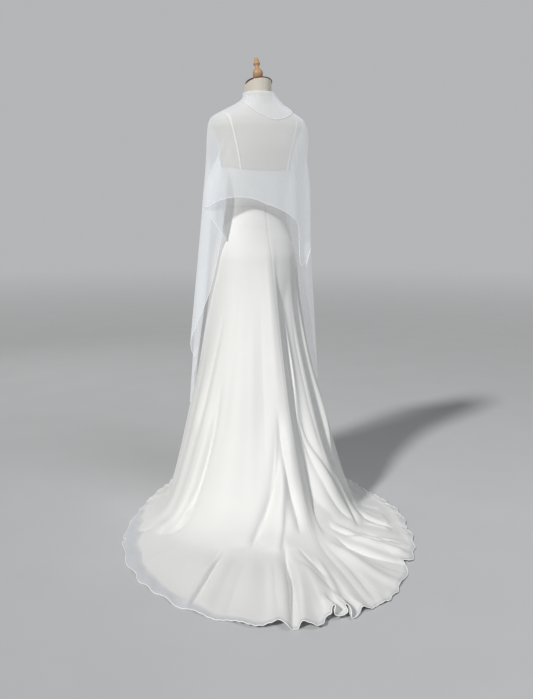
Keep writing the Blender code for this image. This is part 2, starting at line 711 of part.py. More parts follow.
def build_strap(name, side, material):
    """A narrow flat strap swept over the shoulder, just clear of the form."""
    path = strap_path(22) * np.array([side, 1.0, 1.0])
    step = np.gradient(path, axis=0)
    step /= np.linalg.norm(step, axis=1, keepdims=True)
    out = path - np.array([0.0, 0.0, STRAP_HUB_HEIGHT])
    out[:, 0] *= 0.6
    out -= step * np.sum(out * step, axis=1, keepdims=True)
    out /= np.linalg.norm(out, axis=1, keepdims=True)
    wide = np.cross(step, out)
    # Off the form over the shoulder, and level with the bodice's wall at both ends.
    away = STRAP_ROOM * np.sin(np.linspace(0.0, np.pi, len(path))) ** 0.5
    inner = path + out * away[:, None]
    corners = ((-0.5, 0.0), (0.5, 0.0), (0.5, 1.0), (-0.5, 1.0))
    rings = np.stack([inner + wide * STRAP_WIDTH * a + out * STRAP_THICKNESS * b for a, b in corners], 1)
    return make_rings(name, rings, material)


# The skirt panels.

def panel_angles(first, last, count):
    """Column angles, evenly spaced along the line halfway out to the hem."""
    fine = np.linspace(first, last, 400)
    reach = 0.10 + round_curve(HEM_LINE, 2, fine)
    run = np.concatenate([[0.0], np.cumsum(0.5 * (reach[1:] + reach[:-1]))])
    return np.interp(np.linspace(0.0, run[-1], count), run, fine)


def hem_share(row_shares, angle):
    """Hanging heights from just above the floor down to the hem."""
    return LANDING_HEIGHT + (edge_hanging_height(angle) - LANDING_HEIGHT) * row_shares


def build_skirt_panel(name, first, last, columns, floor_rows, split, material):
    """A wall that hangs from the waist. Its last rows have `split` times the columns."""
    coarse = panel_angles(first, last, columns)
    pull = np.degrees(SEAM_GAP / 2)
    fine = np.interp(np.linspace(0, columns - 1, (columns - 1) * split + 1), np.arange(columns), coarse)
    shares = np.linspace(0.0, 1.0, floor_rows)
    blocks = []
    for height in HANGING_ROWS:
        blocks.append((coarse, np.full(columns, height - (SEAM_GAP / 2 if height == WAIST_HEIGHT else 0))))
    for share in shares[:-1] * LAST_COARSE_SHARE:
        blocks.append((coarse, hem_share(share, coarse)))
    for share in HEM_SHARES:
        blocks.append((fine, hem_share(share, fine)))
    angle = np.concatenate([block[0] for block in blocks])
    hanging = np.concatenate([block[1] for block in blocks])
    inner = skirt_inner(angle, hanging)
    # Half the seam gap is taken off at each side, measured round at every height.
    radius = np.hypot(inner[:, 0], inner[:, 1])
    at_first = np.isclose(angle, first)
    at_last = np.isclose(angle, last)
    angle = angle + np.where(at_first, pull / radius, 0.0) - np.where(at_last, pull / radius, 0.0)
    inner = skirt_inner(angle, hanging)
    normal = normals_of(skirt_inner, angle, hanging, 0.15, 0.003)
    normal = square_to_seam(normal, inner, at_first | at_last)
    outer = inner + GOWN_WALL * normal
    coarse_rows = len(HANGING_ROWS) + floor_rows - 1
    start = coarse_rows * columns
    wide = len(fine)
    triangles = [grid_triangles(coarse_rows, columns), grid_triangles(2, wide, start)]
    above = start - columns
    joins = []
    for k in range(columns - 1):
        left = above + k
        for m in range(split):
            here = start + k * split + m
            corner = left if m * 2 < split else left + 1
            joins.append((corner, here + 1, here))
        middle = start + k * split + (split + 1) // 2
        joins.append((left, left + 1, middle))
    triangles.append(np.array(joins))
    return make_wall(name, inner, outer, np.concatenate(triangles), material)


def build_lining_hem(material):
    """The edge of the opaque lining, flat on the floor and set back from the sheer hem."""
    angles = np.linspace(LINING_FIRST_ANGLE, LINING_LAST_ANGLE, 43)
    edge = round_curve(HEM_LINE, 2, angles) - LINING_SETBACK
    inner_edge = edge - LINING_WIDTH
    low = np.concatenate([on_axis(angles, inner_edge, 0.0), on_axis(angles, edge, 0.0)])
    high = low + np.array([0.0, 0.0, LINING_WALL])
    return make_wall("lining_hem", low, high, grid_triangles(2, len(angles)), material)


# The shawl.

def station_table(table):
    return [(float(index), *row) for index, row in enumerate(table)]


def shawl_inner(table, station, height):
    """World points of the shawl's inner face: rings above, hanging folds below."""
    rows = station_table(table)
    angle = curve_through(rows, 1, station)
    hang_x = curve_through(rows, 2, station)
    hang_y = curve_through(rows, 3, station)
    reach = np.where(angle > 0, curve_ring(1, height), curve_ring(2, height))
    radius = ring_radius(angle, reach, curve_ring(3, height), curve_ring(4, height))
    share = ease_in(SHAWL_FREE_HEIGHT, SHAWL_HANG_HEIGHT, height)
    spread = np.where(angle > 0, LEFT_SPREAD, RIGHT_SPREAD) * ease_in(55.0, 80.0, np.abs(angle))
    hang_x = hang_x * (1.0 + spread * (SHAWL_HANG_HEIGHT - height))
    turn = np.radians(angle)
    x = radius * np.sin(turn) * (1 - share) + hang_x * share
    y = radius * np.cos(turn) * (1 - share) + hang_y * share
    # Low down the tails lie against the skirt, never inside it.
    away = np.degrees(np.arctan2(x, y))
    least = plain_skirt(away, np.clip(height, 0.2, WAIST_HEIGHT))[0] + SHAWL_REST
    reach_out = soft_floor(np.hypot(x, y), least * share, 0.002)
    return on_axis(away, reach_out, height)


def curve_ring(column, height):
    return curve_through(SHAWL_RINGS[::-1], column, height)


def shawl_heights(edge, extra_rows):
    """Heights of a column's points: fixed over the shoulders, then even down to the edge."""
    rows = [np.full_like(edge, height) for height in SHAWL_ROWS]
    for share in np.linspace(0.0, 1.0, extra_rows + 1)[1:]:
        rows.append(SHAWL_ROWS[-1] + (edge - SHAWL_ROWS[-1]) * share)
    return np.array(rows)


def shawl_wall(name, parts, extra_rows, material):
    """A wall through columns taken from the left or the right table, in order. The last
    value of each part says at which of its columns half a seam gap is taken off."""
    inner = []
    outer = []
    for table, stations, flip, seam_column in parts:
        edge = curve_through(station_table(table), 4, stations)
        height = shawl_heights(edge, extra_rows)
        station = np.broadcast_to(stations, height.shape)

        def surface(first, second, rows=table):
            return shawl_inner(rows, first, second)

        points = surface(station, height)
        normal = normals_of(surface, station, height, 0.04, 0.002) * flip
        beside = points[:, 1 if seam_column == 0 else -2] - points[:, seam_column]
        beside /= np.linalg.norm(beside, axis=-1, keepdims=True)
        points[:, seam_column] += beside * SEAM_GAP
        inner.append(points)
        outer.append(points + normal * SHAWL_WALL)
    # Where two parts meet at the centre back, their shared column is kept once.
    inner = np.concatenate([block[:, (1 if k else 0):] for k, block in enumerate(inner)], axis=1)
    outer = np.concatenate([block[:, (1 if k else 0):] for k, block in enumerate(outer)], axis=1)
    rows, columns = inner.shape[:2]
    return make_wall(name, inner.reshape(-1, 3), outer.reshape(-1, 3),
                     grid_triangles(rows, columns), material)


def build_shawl(material):
    left_columns = np.linspace(LEFT_FOLD_STATION, 0.0, 11)
    right_columns = np.linspace(0.0, RIGHT_FOLD_STATION, 10)
    shawl_wall("shawl_back", ((SHAWL_LEFT, left_columns, 1.0, 0), (SHAWL_RIGHT, right_columns, -1.0, -1)),
               1, material)
    left_side = np.linspace(LEFT_FOLD_STATION, len(SHAWL_LEFT) - 1.0, 22)
    shawl_wall("shawl_left", ((SHAWL_LEFT, left_side, 1.0, 0),), 6, material)
    right_side = np.linspace(RIGHT_FOLD_STATION, len(SHAWL_RIGHT) - 1.0, 22)
    shawl_wall("shawl_right", ((SHAWL_RIGHT, right_side, -1.0, 0),), 6, material)


def collar_inner(angle, share):
    """Inner face of the turned-down collar, a little outside the shawl."""
    edge = curve_through(COLLAR_EDGE, 1, angle)
    height = COLLAR_TOP_HEIGHT + (edge - COLLAR_TOP_HEIGHT) * share
    reach = np.where(angle > 0, curve_ring(1, height), curve_ring(2, height))
    radius = ring_radius(angle, reach, curve_ring(3, height), curve_ring(4, height))
    return on_axis(angle, radius + COLLAR_LIFT, height + COLLAR_LIFT * 0.6)


def build_collar(material):
    rows = 8
    columns = 17
    angles = np.linspace(COLLAR_EDGE[0][0], COLLAR_EDGE[-1][0], columns)
    shares = np.linspace(0.0, 1.0, rows)
    angle, share = np.meshgrid(angles, shares)
    inner = collar_inner(angle, share)
    normal = normals_of(collar_inner, angle, share, 0.5, 0.01)
    outer = inner - SHAWL_WALL * normal
    return make_wall("shawl_collar", inner.reshape(-1, 3), outer.reshape(-1, 3),
                     grid_triangles(rows, columns), material)


def build_all():
    clear_scene()
    form_cloth = make_material("form cloth", (0.62, 0.56, 0.46), 0.85)
    dark_wood = make_material("dark wood", (0.20, 0.06, 0.03), 0.35)
    pale_wood = make_material("pale wood", (0.72, 0.46, 0.24), 0.45)
    metal = make_material("stand metal", (0.62, 0.62, 0.62), 0.35, 1.0)
    crepe = make_material("ivory crepe", (0.86, 0.86, 0.83), 0.60)
    lining = make_material("lining", (0.88, 0.88, 0.86), 0.55)
    chiffon = make_material("white chiffon", (0.84, 0.86, 0.88), 0.60)

    build_stand_base(metal)
    build_pole(metal)
    build_form_torso(form_cloth)
    build_neck_cap(dark_wood)
    build_finial(pale_wood)

    seam = CENTRE_SEAM_THREAD
    waist_seam = float(thread_angle(seam, WAIST_HEIGHT))
    side = SIDE_SEAM_ANGLE
    build_bodice_panel("bodice_front", side, 360.0 - side, 33, 9, crepe)
    build_bodice_panel("bodice_back_left", waist_seam, side, 14, 6, crepe)
    build_bodice_panel("bodice_back_right", -side, waist_seam, 14, 6, crepe)
    build_strap("strap_left", 1.0, crepe)
    build_strap("strap_right", -1.0, crepe)
    build_skirt_panel("skirt_front", side, 360.0 - side, 29, 3, 2, crepe)
    build_skirt_panel("skirt_back_left", seam, side, 37, 7, 3, crepe)
    build_skirt_panel("skirt_back_right", -side, seam, 36, 7, 3, crepe)
    build_lining_hem(lining)
    build_shawl(chiffon)
    build_collar(chiffon)


build_all()
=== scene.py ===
"""Looks of a wedding gown with a court train and a chiffon shawl, on a limbless dress form.

Metres, +Z up. The gown's front faces -Y and its train spreads toward +Y. Angles are in
degrees round the upright axis, from +Y (the centre back) toward +X.
"""

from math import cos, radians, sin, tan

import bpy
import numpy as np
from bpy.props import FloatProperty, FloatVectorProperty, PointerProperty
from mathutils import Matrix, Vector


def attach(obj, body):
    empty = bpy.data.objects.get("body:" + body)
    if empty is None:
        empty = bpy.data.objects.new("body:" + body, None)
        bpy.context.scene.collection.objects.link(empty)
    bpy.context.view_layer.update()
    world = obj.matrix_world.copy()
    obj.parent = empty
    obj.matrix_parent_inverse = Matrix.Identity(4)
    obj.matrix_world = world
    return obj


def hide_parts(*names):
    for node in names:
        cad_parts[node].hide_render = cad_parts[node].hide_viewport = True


bl_info = {
    "name": "Wedding Gown on a Dress Form",
    "version": (1, 0, 0),
    "blender": (4, 5, 0),
    "location": "3D View > Sidebar > Gown",
    "description": "Cuts, drapes and finishes a gown with a train, its shawl and its dress form",
    "category": "Add Mesh",
}

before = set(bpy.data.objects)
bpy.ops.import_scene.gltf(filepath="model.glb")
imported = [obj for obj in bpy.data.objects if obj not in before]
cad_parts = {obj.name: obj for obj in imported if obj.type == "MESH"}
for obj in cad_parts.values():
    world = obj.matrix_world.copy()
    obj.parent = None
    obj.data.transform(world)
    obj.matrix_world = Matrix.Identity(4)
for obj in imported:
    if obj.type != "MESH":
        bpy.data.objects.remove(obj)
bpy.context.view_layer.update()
BODY = "root"

# Sizes that drive the rest, in metres.
TOTAL_HEIGHT = 1.700
WAIST_HEIGHT = 1.143
HIP_HEIGHT = 0.950
BACK_EDGE_HEIGHT = 1.275
SIDE_EDGE_HEIGHT = 1.290
CUP_EDGE_HEIGHT = 1.362
FRONT_DIP_HEIGHT = 1.285
TORSO_FOOT_HEIGHT = 0.850
NECK_BEND_HEIGHT = 1.555
NECK_TOP_HEIGHT = 1.600
NECK_CENTRE_BACK = 0.0165
NECK_TOP_TILT = 17.0
CAP_RADIUS = 0.0515
CAP_THICKNESS = 0.0065
POLE_RADIUS = 0.0140
BASE_RADIUS = 0.1600
BASE_THICKNESS = 0.0160
GOWN_WALL = 0.0015
BODY_EASE = 0.0035
SEAM_GAP = 0.0003
CENTRE_SEAM_THREAD = 3.0
SIDE_SEAM_ANGLE = 90.0
FINIAL_LENGTH = (TOTAL_HEIGHT - NECK_TOP_HEIGHT) / cos(radians(NECK_TOP_TILT)) - CAP_THICKNESS - 2 * SEAM_GAP

# The straps: their section, how the shoulder carries them, and where they are sewn on.
STRAP_WIDTH = 0.0055
STRAP_THICKNESS = 0.0014
STRAP_ROOM = 0.0016
STRAP_CREST_ROOM = 0.0050
STRAP_CREST_SHARE = 0.58
STRAP_BACK_ANGLE = 52.0
STRAP_FRONT_ANGLE = 140.0
STRAP_HUB_HEIGHT = 1.36

# The two soft swellings of the cups: how far from the centre back, how wide, how high.
CUP_ANGLE = 146.0
CUP_SPREAD = 21.0
CUP_HEIGHT = 1.315
CUP_REACH = 0.040
CUP_RISE = 0.013

# How the skirt hangs: its flare, and the heights between which its threads lean sideways.
FLARE_TOP = 1.060
FLARE_POWER = 1.50
THREAD_LEAN_FOOT = 0.28
THREAD_LEAN_TOP = 0.96

# Its relief: how far the train lies off the floor, the deepest crease and how softly that
# limit bends, a fold's width at its top as a share, how sharp creases and drag lines are,
# and how far the cloth beside a drag line is raised.
TRAIN_LIFT = 0.012
DEEPEST_CREASE = 0.034
CREASE_SOFTNESS = 0.0012
FOLD_NECK = 0.45
CREASE_POWER = 1.45
LINE_POWER = 1.15
LINE_SHOULDER = 0.055

# The hem: its uneven ripples, the ruffled stretch toward +X of the centre seam, the
# scallops of its outline and the tight curls of the very edge.
HEM_WAVE_LENGTH = 0.072
HEM_WAVE_HEIGHT = 0.0045
HEM_WAVE_SWAY = 0.005
HEM_WAVE_REACH = 0.10
FRILL_ANGLE = 7.6
FRILL_SPREAD = 3.0
FRILL_HEIGHT = 0.034
FRILL_LENGTH = 0.050
FRILL_SWAY = 0.008
FRILL_REACH = 0.17
FRILL_NECK = 0.010
FRILL_BULGE = 0.006
SCALLOP_LENGTH = 0.105
SCALLOP_DEPTH = 0.011
LETTUCE_LENGTH = 0.019
LETTUCE_HEIGHT = 0.0022
LETTUCE_REACH = 0.022

# The lining's edge under the train: the angles that it runs between, its width, its room
# under the cloth and how far it stays inside the hem. The cloth turns sheer only where it
# hangs below SHEER_BELOW, from SHEER_START past the lining's edge. The panels and the
# lining stay FLOOR_ROOM above the floor.
LINING_SPAN = (-40.0, 74.0)
LINING_WIDTH = 0.060
LINING_ROOM = 0.0020
LINING_SETBACK = 0.050
SHEER_BELOW = 0.2
SHEER_START = -0.002
FLOOR_ROOM = 0.0002

# Rings of the gown's body, which the form fills: height, half width, depth in front of
# the axis, depth behind it, how far the ring leans toward +X.
BODY_RINGS = (
    (0.850, 0.148, 0.098, 0.110, 0.013),
    (0.900, 0.154, 0.102, 0.116, 0.013),
    (0.945, 0.157, 0.103, 0.119, 0.013),
    (1.010, 0.147, 0.098, 0.108, 0.013),
    (1.075, 0.132, 0.090, 0.093, 0.013),
    (1.143, 0.118, 0.083, 0.080, 0.012),
    (1.210, 0.124, 0.095, 0.083, 0.008),
    (1.270, 0.134, 0.108, 0.090, 0.004),
    (1.320, 0.140, 0.116, 0.096, 0.001),
    (1.370, 0.150, 0.104, 0.103, 0.000),
    (1.415, 0.168, 0.080, 0.104, 0.000),
    (1.445, 0.182, 0.064, 0.101, 0.000),
    (1.470, 0.172, 0.055, 0.094, 0.000),
    (1.490, 0.138, 0.050, 0.086, 0.000),
    (1.508, 0.094, 0.045, 0.079, 0.000),
    (1.528, 0.062, 0.039, 0.072, 0.000),
    (1.555, 0.052, 0.035, 0.068, 0.000),
    (1.600, 0.050, 0.034, 0.067, 0.000),
)

# Power of the rings' superellipse, and the rows that make the shoulder line.
RING_SQUARENESS = 2.2
SHOULDER_ROWS = slice(11, 15)

# Floor line of the skirt: angle, radius where the cloth lands, radius of its edge, how
# soft the bend is where it turns onto the floor, and how far the sheer outer cloth shows
# past the opaque lining.
HEM_LINE = (
    (-180, 0.335, 0.355, 0.026, 0.003),
    (-140, 0.340, 0.370, 0.026, 0.010),
    (-110, 0.345, 0.385, 0.028, 0.012),
    (-84, 0.350, 0.405, 0.030, 0.016),
    (-67, 0.358, 0.440, 0.034, 0.022),
    (-55, 0.378, 0.512, 0.040, 0.026),
    (-45, 0.408, 0.582, 0.046, 0.026),
    (-33, 0.455, 0.672, 0.052, 0.024),
    (-23, 0.505, 0.778, 0.058, 0.022),
    (-10, 0.560, 0.925, 0.062, 0.020),
    (0, 0.580, 1.068, 0.065, 0.016),
    (12, 0.590, 1.158, 0.068, 0.018),
    (22, 0.590, 1.130, 0.068, 0.026),
    (32, 0.580, 1.050, 0.065, 0.044),
    (45, 0.550, 0.905, 0.062, 0.066),
    (55, 0.512, 0.780, 0.060, 0.076),
    (65, 0.464, 0.668, 0.058, 0.074),
    (77, 0.412, 0.548, 0.054, 0.036),
    (93, 0.366, 0.452, 0.046, 0.003),
    (120, 0.340, 0.382, 0.030, 0.003),
    (150, 0.338, 0.360, 0.026, 0.003),
    (180, 0.335, 0.355, 0.026, 0.003),
)

# How far the skirt's threads lean sideways by the hip: angle at the floor, lean.
THREAD_LEAN = (
    (-180, 0.0),
    (-92, 0.0),
    (-77, -9.0),
    (-58, -20.0),
    (-45, -25.0),
    (-34, -27.0),
    (-22, -27.0),
    (-10, -18.0),
    (-1.5, -12.0),
    (3, -5.0),
    (12, 0.0),
    (60, 0.0),
    (180, 0.0),
)

# Folds of the skirt, ridges with a positive rise and creases with a negative one.
# Columns: height of the top, of the foot (below the floor means along the train),
# thread at the top, halfway and at the foot, rise, half width toward +X, half width
# toward -X, share of the rise that is left at the foot. A thread is the angle at which
# a lengthwise thread of the cloth meets the floor.
FOLDS = (
    (0.62, -0.22, 66.0, 63.0, 66.0, 0.012, 0.060, 0.045, 0.0),
    (0.56, -0.22, 46.0, 47.0, 54.0, -0.013, 0.028, 0.020, 0.0),
    (0.70, -0.15, 32.0, 33.0, 38.0, 0.008, 0.080, 0.080, 0.0),
    (0.40, -0.14, 11.0, 16.0, 25.0, -0.010, 0.030, 0.022, 0.0),
    (0.30, -0.20, 10.4, 12.0, 15.5, 0.009, 0.026, 0.024, 0.0),
    (0.42, -0.03, 8.6, 8.0, 7.0, -0.008, 0.022, 0.020, 0.0),
    (1.10, -0.14, 2.5, 3.0, 3.5, 0.020, 0.084, 0.024, 0.1),
    (1.08, -0.06, -2.8, -3.0, -2.2, -0.022, 0.022, 0.030, 0.0),
    (1.06, -0.08, -14.0, -16.0, -13.6, 0.006, 0.036, 0.032, 0.0),
    (0.42, -0.08, -2.5, -10.0, -17.5, -0.008, 0.018, 0.014, 0.0),
    (1.02, -0.02, -25.0, -26.0, -24.0, -0.016, 0.018, 0.022, 0.0),
    (0.92, -0.08, -33.0, -33.0, -33.0, 0.012, 0.032, 0.030, 0.0),
    (0.60, -0.02, -44.0, -43.0, -43.0, -0.010, 0.018, 0.018, 0.0),
    (0.66, -0.06, -58.0, -57.0, -56.0, 0.006, 0.030, 0.030, 0.0),
    (0.60, -0.02, -77.0, -76.0, -75.0, -0.010, 0.022, 0.022, 0.0),
    (0.55, -0.05, -100.0, -98.0, -95.0, 0.012, 0.030, 0.030, 0.5),
    (0.65, -0.05, -128.0, -124.0, -121.0, 0.014, 0.034, 0.030, 0.6),
    (0.60, -0.05, -150.0, -147.0, -148.0, 0.012, 0.034, 0.034, 0.6),
    (0.70, -0.05, 180.0, 181.0, 183.0, 0.014, 0.036, 0.032, 0.6),
    (0.60, -0.05, 156.0, 154.0, 153.0, 0.012, 0.032, 0.034, 0.6),
    (0.68, -0.05, 130.0, 128.0, 126.0, 0.014, 0.034, 0.030, 0.6),
    (0.55, -0.05, 106.0, 103.0, 101.0, 0.008, 0.030, 0.030, 0.5),
    (0.50, -0.08, 88.0, 86.0, 85.0, -0.010, 0.026, 0.024, 0.0),
    (-0.06, -0.72, 31.0, 32.3, 33.0, -0.014, 0.045, 0.026, 0.0),
    (-0.05, -0.92, 22.0, 21.5, 20.5, 0.007, 0.070, 0.055, 0.0),
    (-0.02, -1.00, 12.6, 14.2, 16.8, -0.020, 0.030, 0.018, 0.9),
    (-0.05, -0.90, 9.0, 9.6, 10.6, 0.011, 0.040, 0.044, 0.3),
    (0.02, -0.80, 1.5, 2.7, 3.0, -0.007, 0.028, 0.026, 0.0),
    (-0.05, -0.66, -1.2, -3.0, -6.6, 0.010, 0.030, 0.030, 0.0),
    (-0.05, -0.64, -4.2, -8.0, -13.5, -0.016, 0.026, 0.014, 0.0),
    (-0.02, -0.50, -8.8, -12.6, -17.5, 0.014, 0.028, 0.028, 0.0),
    (0.06, -0.36, -2.5, -11.5, -21.0, -0.010, 0.020, 0.018, 0.0),
    (0.04, -0.32, -25.0, -26.0, -28.0, -0.010, 0.024, 0.022, 0.0),
)

# Small creases and soft pulls between the main folds, with the same columns.
FINE_FOLDS = (
    (1.02, 0.40, 7.0, 7.5, 8.0, 0.0020, 0.012, 0.012, 0.0),
    (0.90, 0.10, 16.0, 16.5, 17.0, -0.0022, 0.020, 0.024, 0.0),
    (0.80, 0.05, 24.0, 23.0, 23.5, 0.0024, 0.024, 0.024, 0.0),
    (0.92, 0.20, 40.0, 39.0, 39.5, -0.0022, 0.022, 0.022, 0.0),
    (0.78, -0.05, 53.0, 54.0, 57.0, 0.0030, 0.022, 0.020, 0.0),
    (0.70, 0.00, 74.0, 73.0, 73.0, -0.0034, 0.018, 0.018, 0.0),
    (0.60, 0.00, 82.0, 81.0, 80.0, 0.0030, 0.018, 0.018, 0.0),
    (0.90, 0.12, -6.0, -6.0, -6.4, 0.0026, 0.012, 0.012, 0.0),
    (0.82, 0.15, -14.5, -15.0, -15.0, -0.0034, 0.012, 0.012, 0.0),
    (0.78, 0.05, -28.0, -27.5, -27.5, 0.0032, 0.012, 0.012, 0.0),
    (0.70, 0.05, -38.0, -38.0, -38.0, -0.0040, 0.012, 0.012, 0.0),
    (0.62, 0.02, -50.0, -50.0, -50.0, 0.0036, 0.014, 0.014, 0.0),
    (0.64, 0.02, -67.0, -67.0, -66.0, -0.0044, 0.016, 0.016, 0.0),
    (-0.10, -0.50, 60.0, 62.0, 64.0, -0.0030, 0.020, 0.026, 0.0),
    (-0.12, -0.60, 44.0, 46.0, 48.0, 0.0034, 0.030, 0.024, 0.0),
    (-0.14, -0.80, 26.0, 27.0, 27.5, -0.0028, 0.030, 0.030, 0.0),
    (-0.20, -0.86, 17.5, 18.0, 18.6, 0.0034, 0.018, 0.014, 0.0),
    (-0.10, -0.46, 9.0, 7.6, 6.6, -0.0060, 0.016, 0.012, 0.0),
    (-0.16, -0.70, 5.6, 6.4, 7.6, 0.0040, 0.016, 0.016, 0.0),
    (-0.10, -0.52, -2.0, -5.4, -9.6, -0.0040, 0.012, 0.010, 0.0),
    (-0.12, -0.40, -15.0, -17.6, -20.4, -0.0044, 0.012, 0.010, 0.0),
    (-0.08, -0.30, -20.0, -23.0, -25.4, 0.0044, 0.014, 0.014, 0.0),
    (-0.04, -0.28, -31.0, -33.0, -35.0, 0.0044, 0.018, 0.016, 0.0),
    (-0.03, -0.24, -38.0, -39.6, -42.0, -0.0044, 0.016, 0.014, 0.0),
    (0.80, 0.10, -112.0, -111.0, -108.0, -0.0040, 0.018, 0.018, 0.0),
    (0.74, 0.08, -138.0, -137.0, -135.0, -0.0046, 0.018, 0.018, 0.0),
    (0.86, 0.12, -166.0, -165.0, -165.0, -0.0040, 0.020, 0.020, 0.0),
    (0.82, 0.06, 168.0, 168.0, 167.0, -0.0046, 0.018, 0.018, 0.0),
    (0.70, 0.08, 143.0, 141.0, 139.0, -0.0040, 0.020, 0.020, 0.0),
    (0.76, 0.10, 117.0, 115.0, 113.0, -0.0044, 0.018, 0.018, 0.0),
)

# Crisp drag lines of the skirt: the cloth rises beside each and dips sharply on it.
# Columns: rise of the cloth on the side toward +X, share of it on the other side, half
# width of the dip toward +X and toward -X, then the line's places from its foot up, each a
# hanging height and an angle. A rise below zero makes the line a crest between two dips.
DRAPE_LINES = (
    (0.026, 0.3, 0.014, 0.054, ((-0.20, 53.6), (0.03, 51.2), (0.18, 48.0), (0.46, 47.0))),
    (0.015, 1.0, 0.013, 0.022, ((-0.10, 23.0), (0.05, 19.2), (0.16, 14.0), (0.42, 8.2))),
    (0.009, 1.0, 0.010, 0.018, ((-0.03, 7.2), (0.07, 6.8), (0.18, 8.2), (0.44, 9.6))),
    (0.008, 1.0, 0.010, 0.016, ((-0.14, 14.2), (-0.08, 13.3), (0.05, 11.2), (0.14, 10.2))),
    (-0.010, 3.6, 0.030, 0.027,
     ((-0.07, -0.4), (0.17, -1.4), (0.40, -5.6), (0.55, -9.6), (0.75, -12.8), (1.00, -15.2))),
    (0.012, 1.0, 0.008, 0.022,
     ((-0.09, -16.2), (0.08, -19.6), (0.20, -14.4), (0.29, -9.6), (0.44, -6.2))),
    (-0.008, 4.6, 0.024, 0.020,
     ((0.02, -24.6), (0.19, -25.6), (0.33, -33.6), (0.57, -50.0), (0.76, -60.5), (0.92, -68.5))),
    (0.010, 1.0, 0.008, 0.018, ((0.04, -30.0), (0.20, -31.0), (0.40, -40.0), (0.60, -54.0))),
    (0.026, 0.8, 0.010, 0.026, ((-0.66, 31.2), (-0.44, 30.8), (-0.20, 30.0), (-0.12, 29.2))),
    (0.032, 1.0, 0.011, 0.013,
     ((-1.20, 17.2), (-0.86, 16.0), (-0.43, 14.0), (-0.15, 13.0), (-0.11, 12.6))),
    (0.005, 1.0, 0.010, 0.026, ((-0.54, 7.0), (-0.40, 8.6), (-0.28, 10.2), (-0.20, 11.2))),
    (0.007, 1.0, 0.012, 0.022, ((-0.84, 3.0), (-0.66, 1.6), (-0.40, 0.6), (-0.06, 0.2))),
    (0.010, 1.0, 0.008, 0.022, ((-0.60, -14.0), (-0.45, -10.4), (-0.30, -7.2), (-0.10, -5.0))),
    (0.009, 1.0, 0.011, 0.028, ((-0.36, -22.0), (-0.12, -13.6), (0.00, -8.6), (0.09, -3.2))),
    (0.010, 1.0, 0.010, 0.020, ((-0.30, -28.0), (-0.08, -25.4), (0.05, -25.0))),
    (0.008, 1.0, 0.012, 0.026, ((-0.44, -17.6), (-0.30, -15.4), (-0.16, -12.0))),
    (0.004, 1.0, 0.014, 0.030, ((-0.70, 25.4), (-0.40, 24.4), (-0.20, 23.4))),
    (0.006, 1.0, 0.020, 0.020, ((-0.72, 6.6), (-0.50, 6.0), (-0.30, 5.4))),
    (0.006, 1.0, 0.012, 0.024, ((0.30, 57.5), (0.50, 58.0), (0.80, 56.0))),
    (0.005, 1.0, 0.016, 0.016, ((0.40, -5.4), (0.62, -6.6), (0.98, -8.6))),
)

# Where the hem is drawn in: angle, how far, half width in degrees.
HEM_NOTCHES = (
    (17.4, 0.022, 0.55),
    (10.6, 0.020, 0.50),
    (8.6, 0.030, 2.10),
    (7.4, 0.014, 0.35),
    (5.4, 0.022, 0.50),
    (3.0, 0.016, 1.60),
    (-12.9, 0.022, 0.90),
    (-30.0, 0.014, 0.70),
    (62.0, 0.014, 0.80),
)

# The shawl over the neck and shoulders: height, reach toward +X, reach toward -X,
# depth in front of the axis, depth behind it.
SHAWL_RINGS = (
    (1.568, 0.055, 0.058, 0.039, 0.071),
    (1.546, 0.060, 0.074, 0.042, 0.075),
    (1.528, 0.083, 0.093, 0.046, 0.080),
    (1.510, 0.117, 0.118, 0.053, 0.087),
    (1.492, 0.152, 0.152, 0.059, 0.094),
    (1.474, 0.181, 0.181, 0.064, 0.101),
    (1.450, 0.193, 0.197, 0.074, 0.108),
    (1.415, 0.197, 0.203, 0.092, 0.112),
    (1.370, 0.200, 0.206, 0.118, 0.116),
    (1.300, 0.204, 0.208, 0.132, 0.116),
    (1.180, 0.212, 0.214, 0.136, 0.113),
)

# The shawl's top, the heights between which it comes free of the shoulders, how far
# outside the skirt it rests, and half of its cloth's thickness.
SHAWL_TOP_HEIGHT = 1.568
SHAWL_FREE_HEIGHT = 1.420
SHAWL_HANG_HEIGHT = 1.190
SHAWL_REST = 0.0140
SHAWL_HALF_WALL = 0.0005

# How the shawl hangs below the shoulders, from the centre back round each side.
# Columns: angle on the shoulder, place toward +X and toward +Y at the waist, height of
# its edge. Its tails spread outward below the waist by a share for each metre.
SHAWL_LEFT = (
    (0.0, 0.000, 0.113, 1.152),
    (18.0, 0.060, 0.114, 1.172),
    (34.0, 0.120, 0.114, 1.178),
    (48.0, 0.180, 0.104, 1.168),
    (60.0, 0.220, 0.084, 1.145),
    (65.0, 0.225, 0.066, 1.130),
    (74.0, 0.163, 0.082, 1.044),
    (78.0, 0.158, 0.064, 1.017),
    (84.0, 0.168, 0.040, 0.860),
    (90.0, 0.206, -0.012, 0.660),
    (94.0, 0.206, -0.034, 0.600),
    (101.0, 0.166, -0.044, 0.520),
    (105.0, 0.164, -0.066, 0.480),
    (116.0, 0.172, -0.146, 0.360),
    (128.0, 0.150, -0.172, 0.400),
)
SHAWL_RIGHT = (
    (0.0, 0.000, 0.113, 1.152),
    (-18.0, -0.050, 0.113, 1.134),
    (-34.0, -0.094, 0.108, 1.110),
    (-48.0, -0.138, 0.090, 1.058),
    (-54.0, -0.148, 0.072, 0.925),
    (-60.0, -0.180, 0.052, 0.935),
    (-66.0, -0.208, 0.034, 0.985),
    (-72.0, -0.190, 0.004, 0.860),
    (-80.0, -0.214, -0.030, 0.660),
    (-88.0, -0.242, -0.066, 0.460),
    (-92.0, -0.244, -0.090, 0.425),
    (-101.0, -0.206, -0.098, 0.400),
    (-105.0, -0.204, -0.120, 0.395),
    (-116.0, -0.226, -0.150, 0.375),
    (-128.0, -0.206, -0.176, 0.430),
)
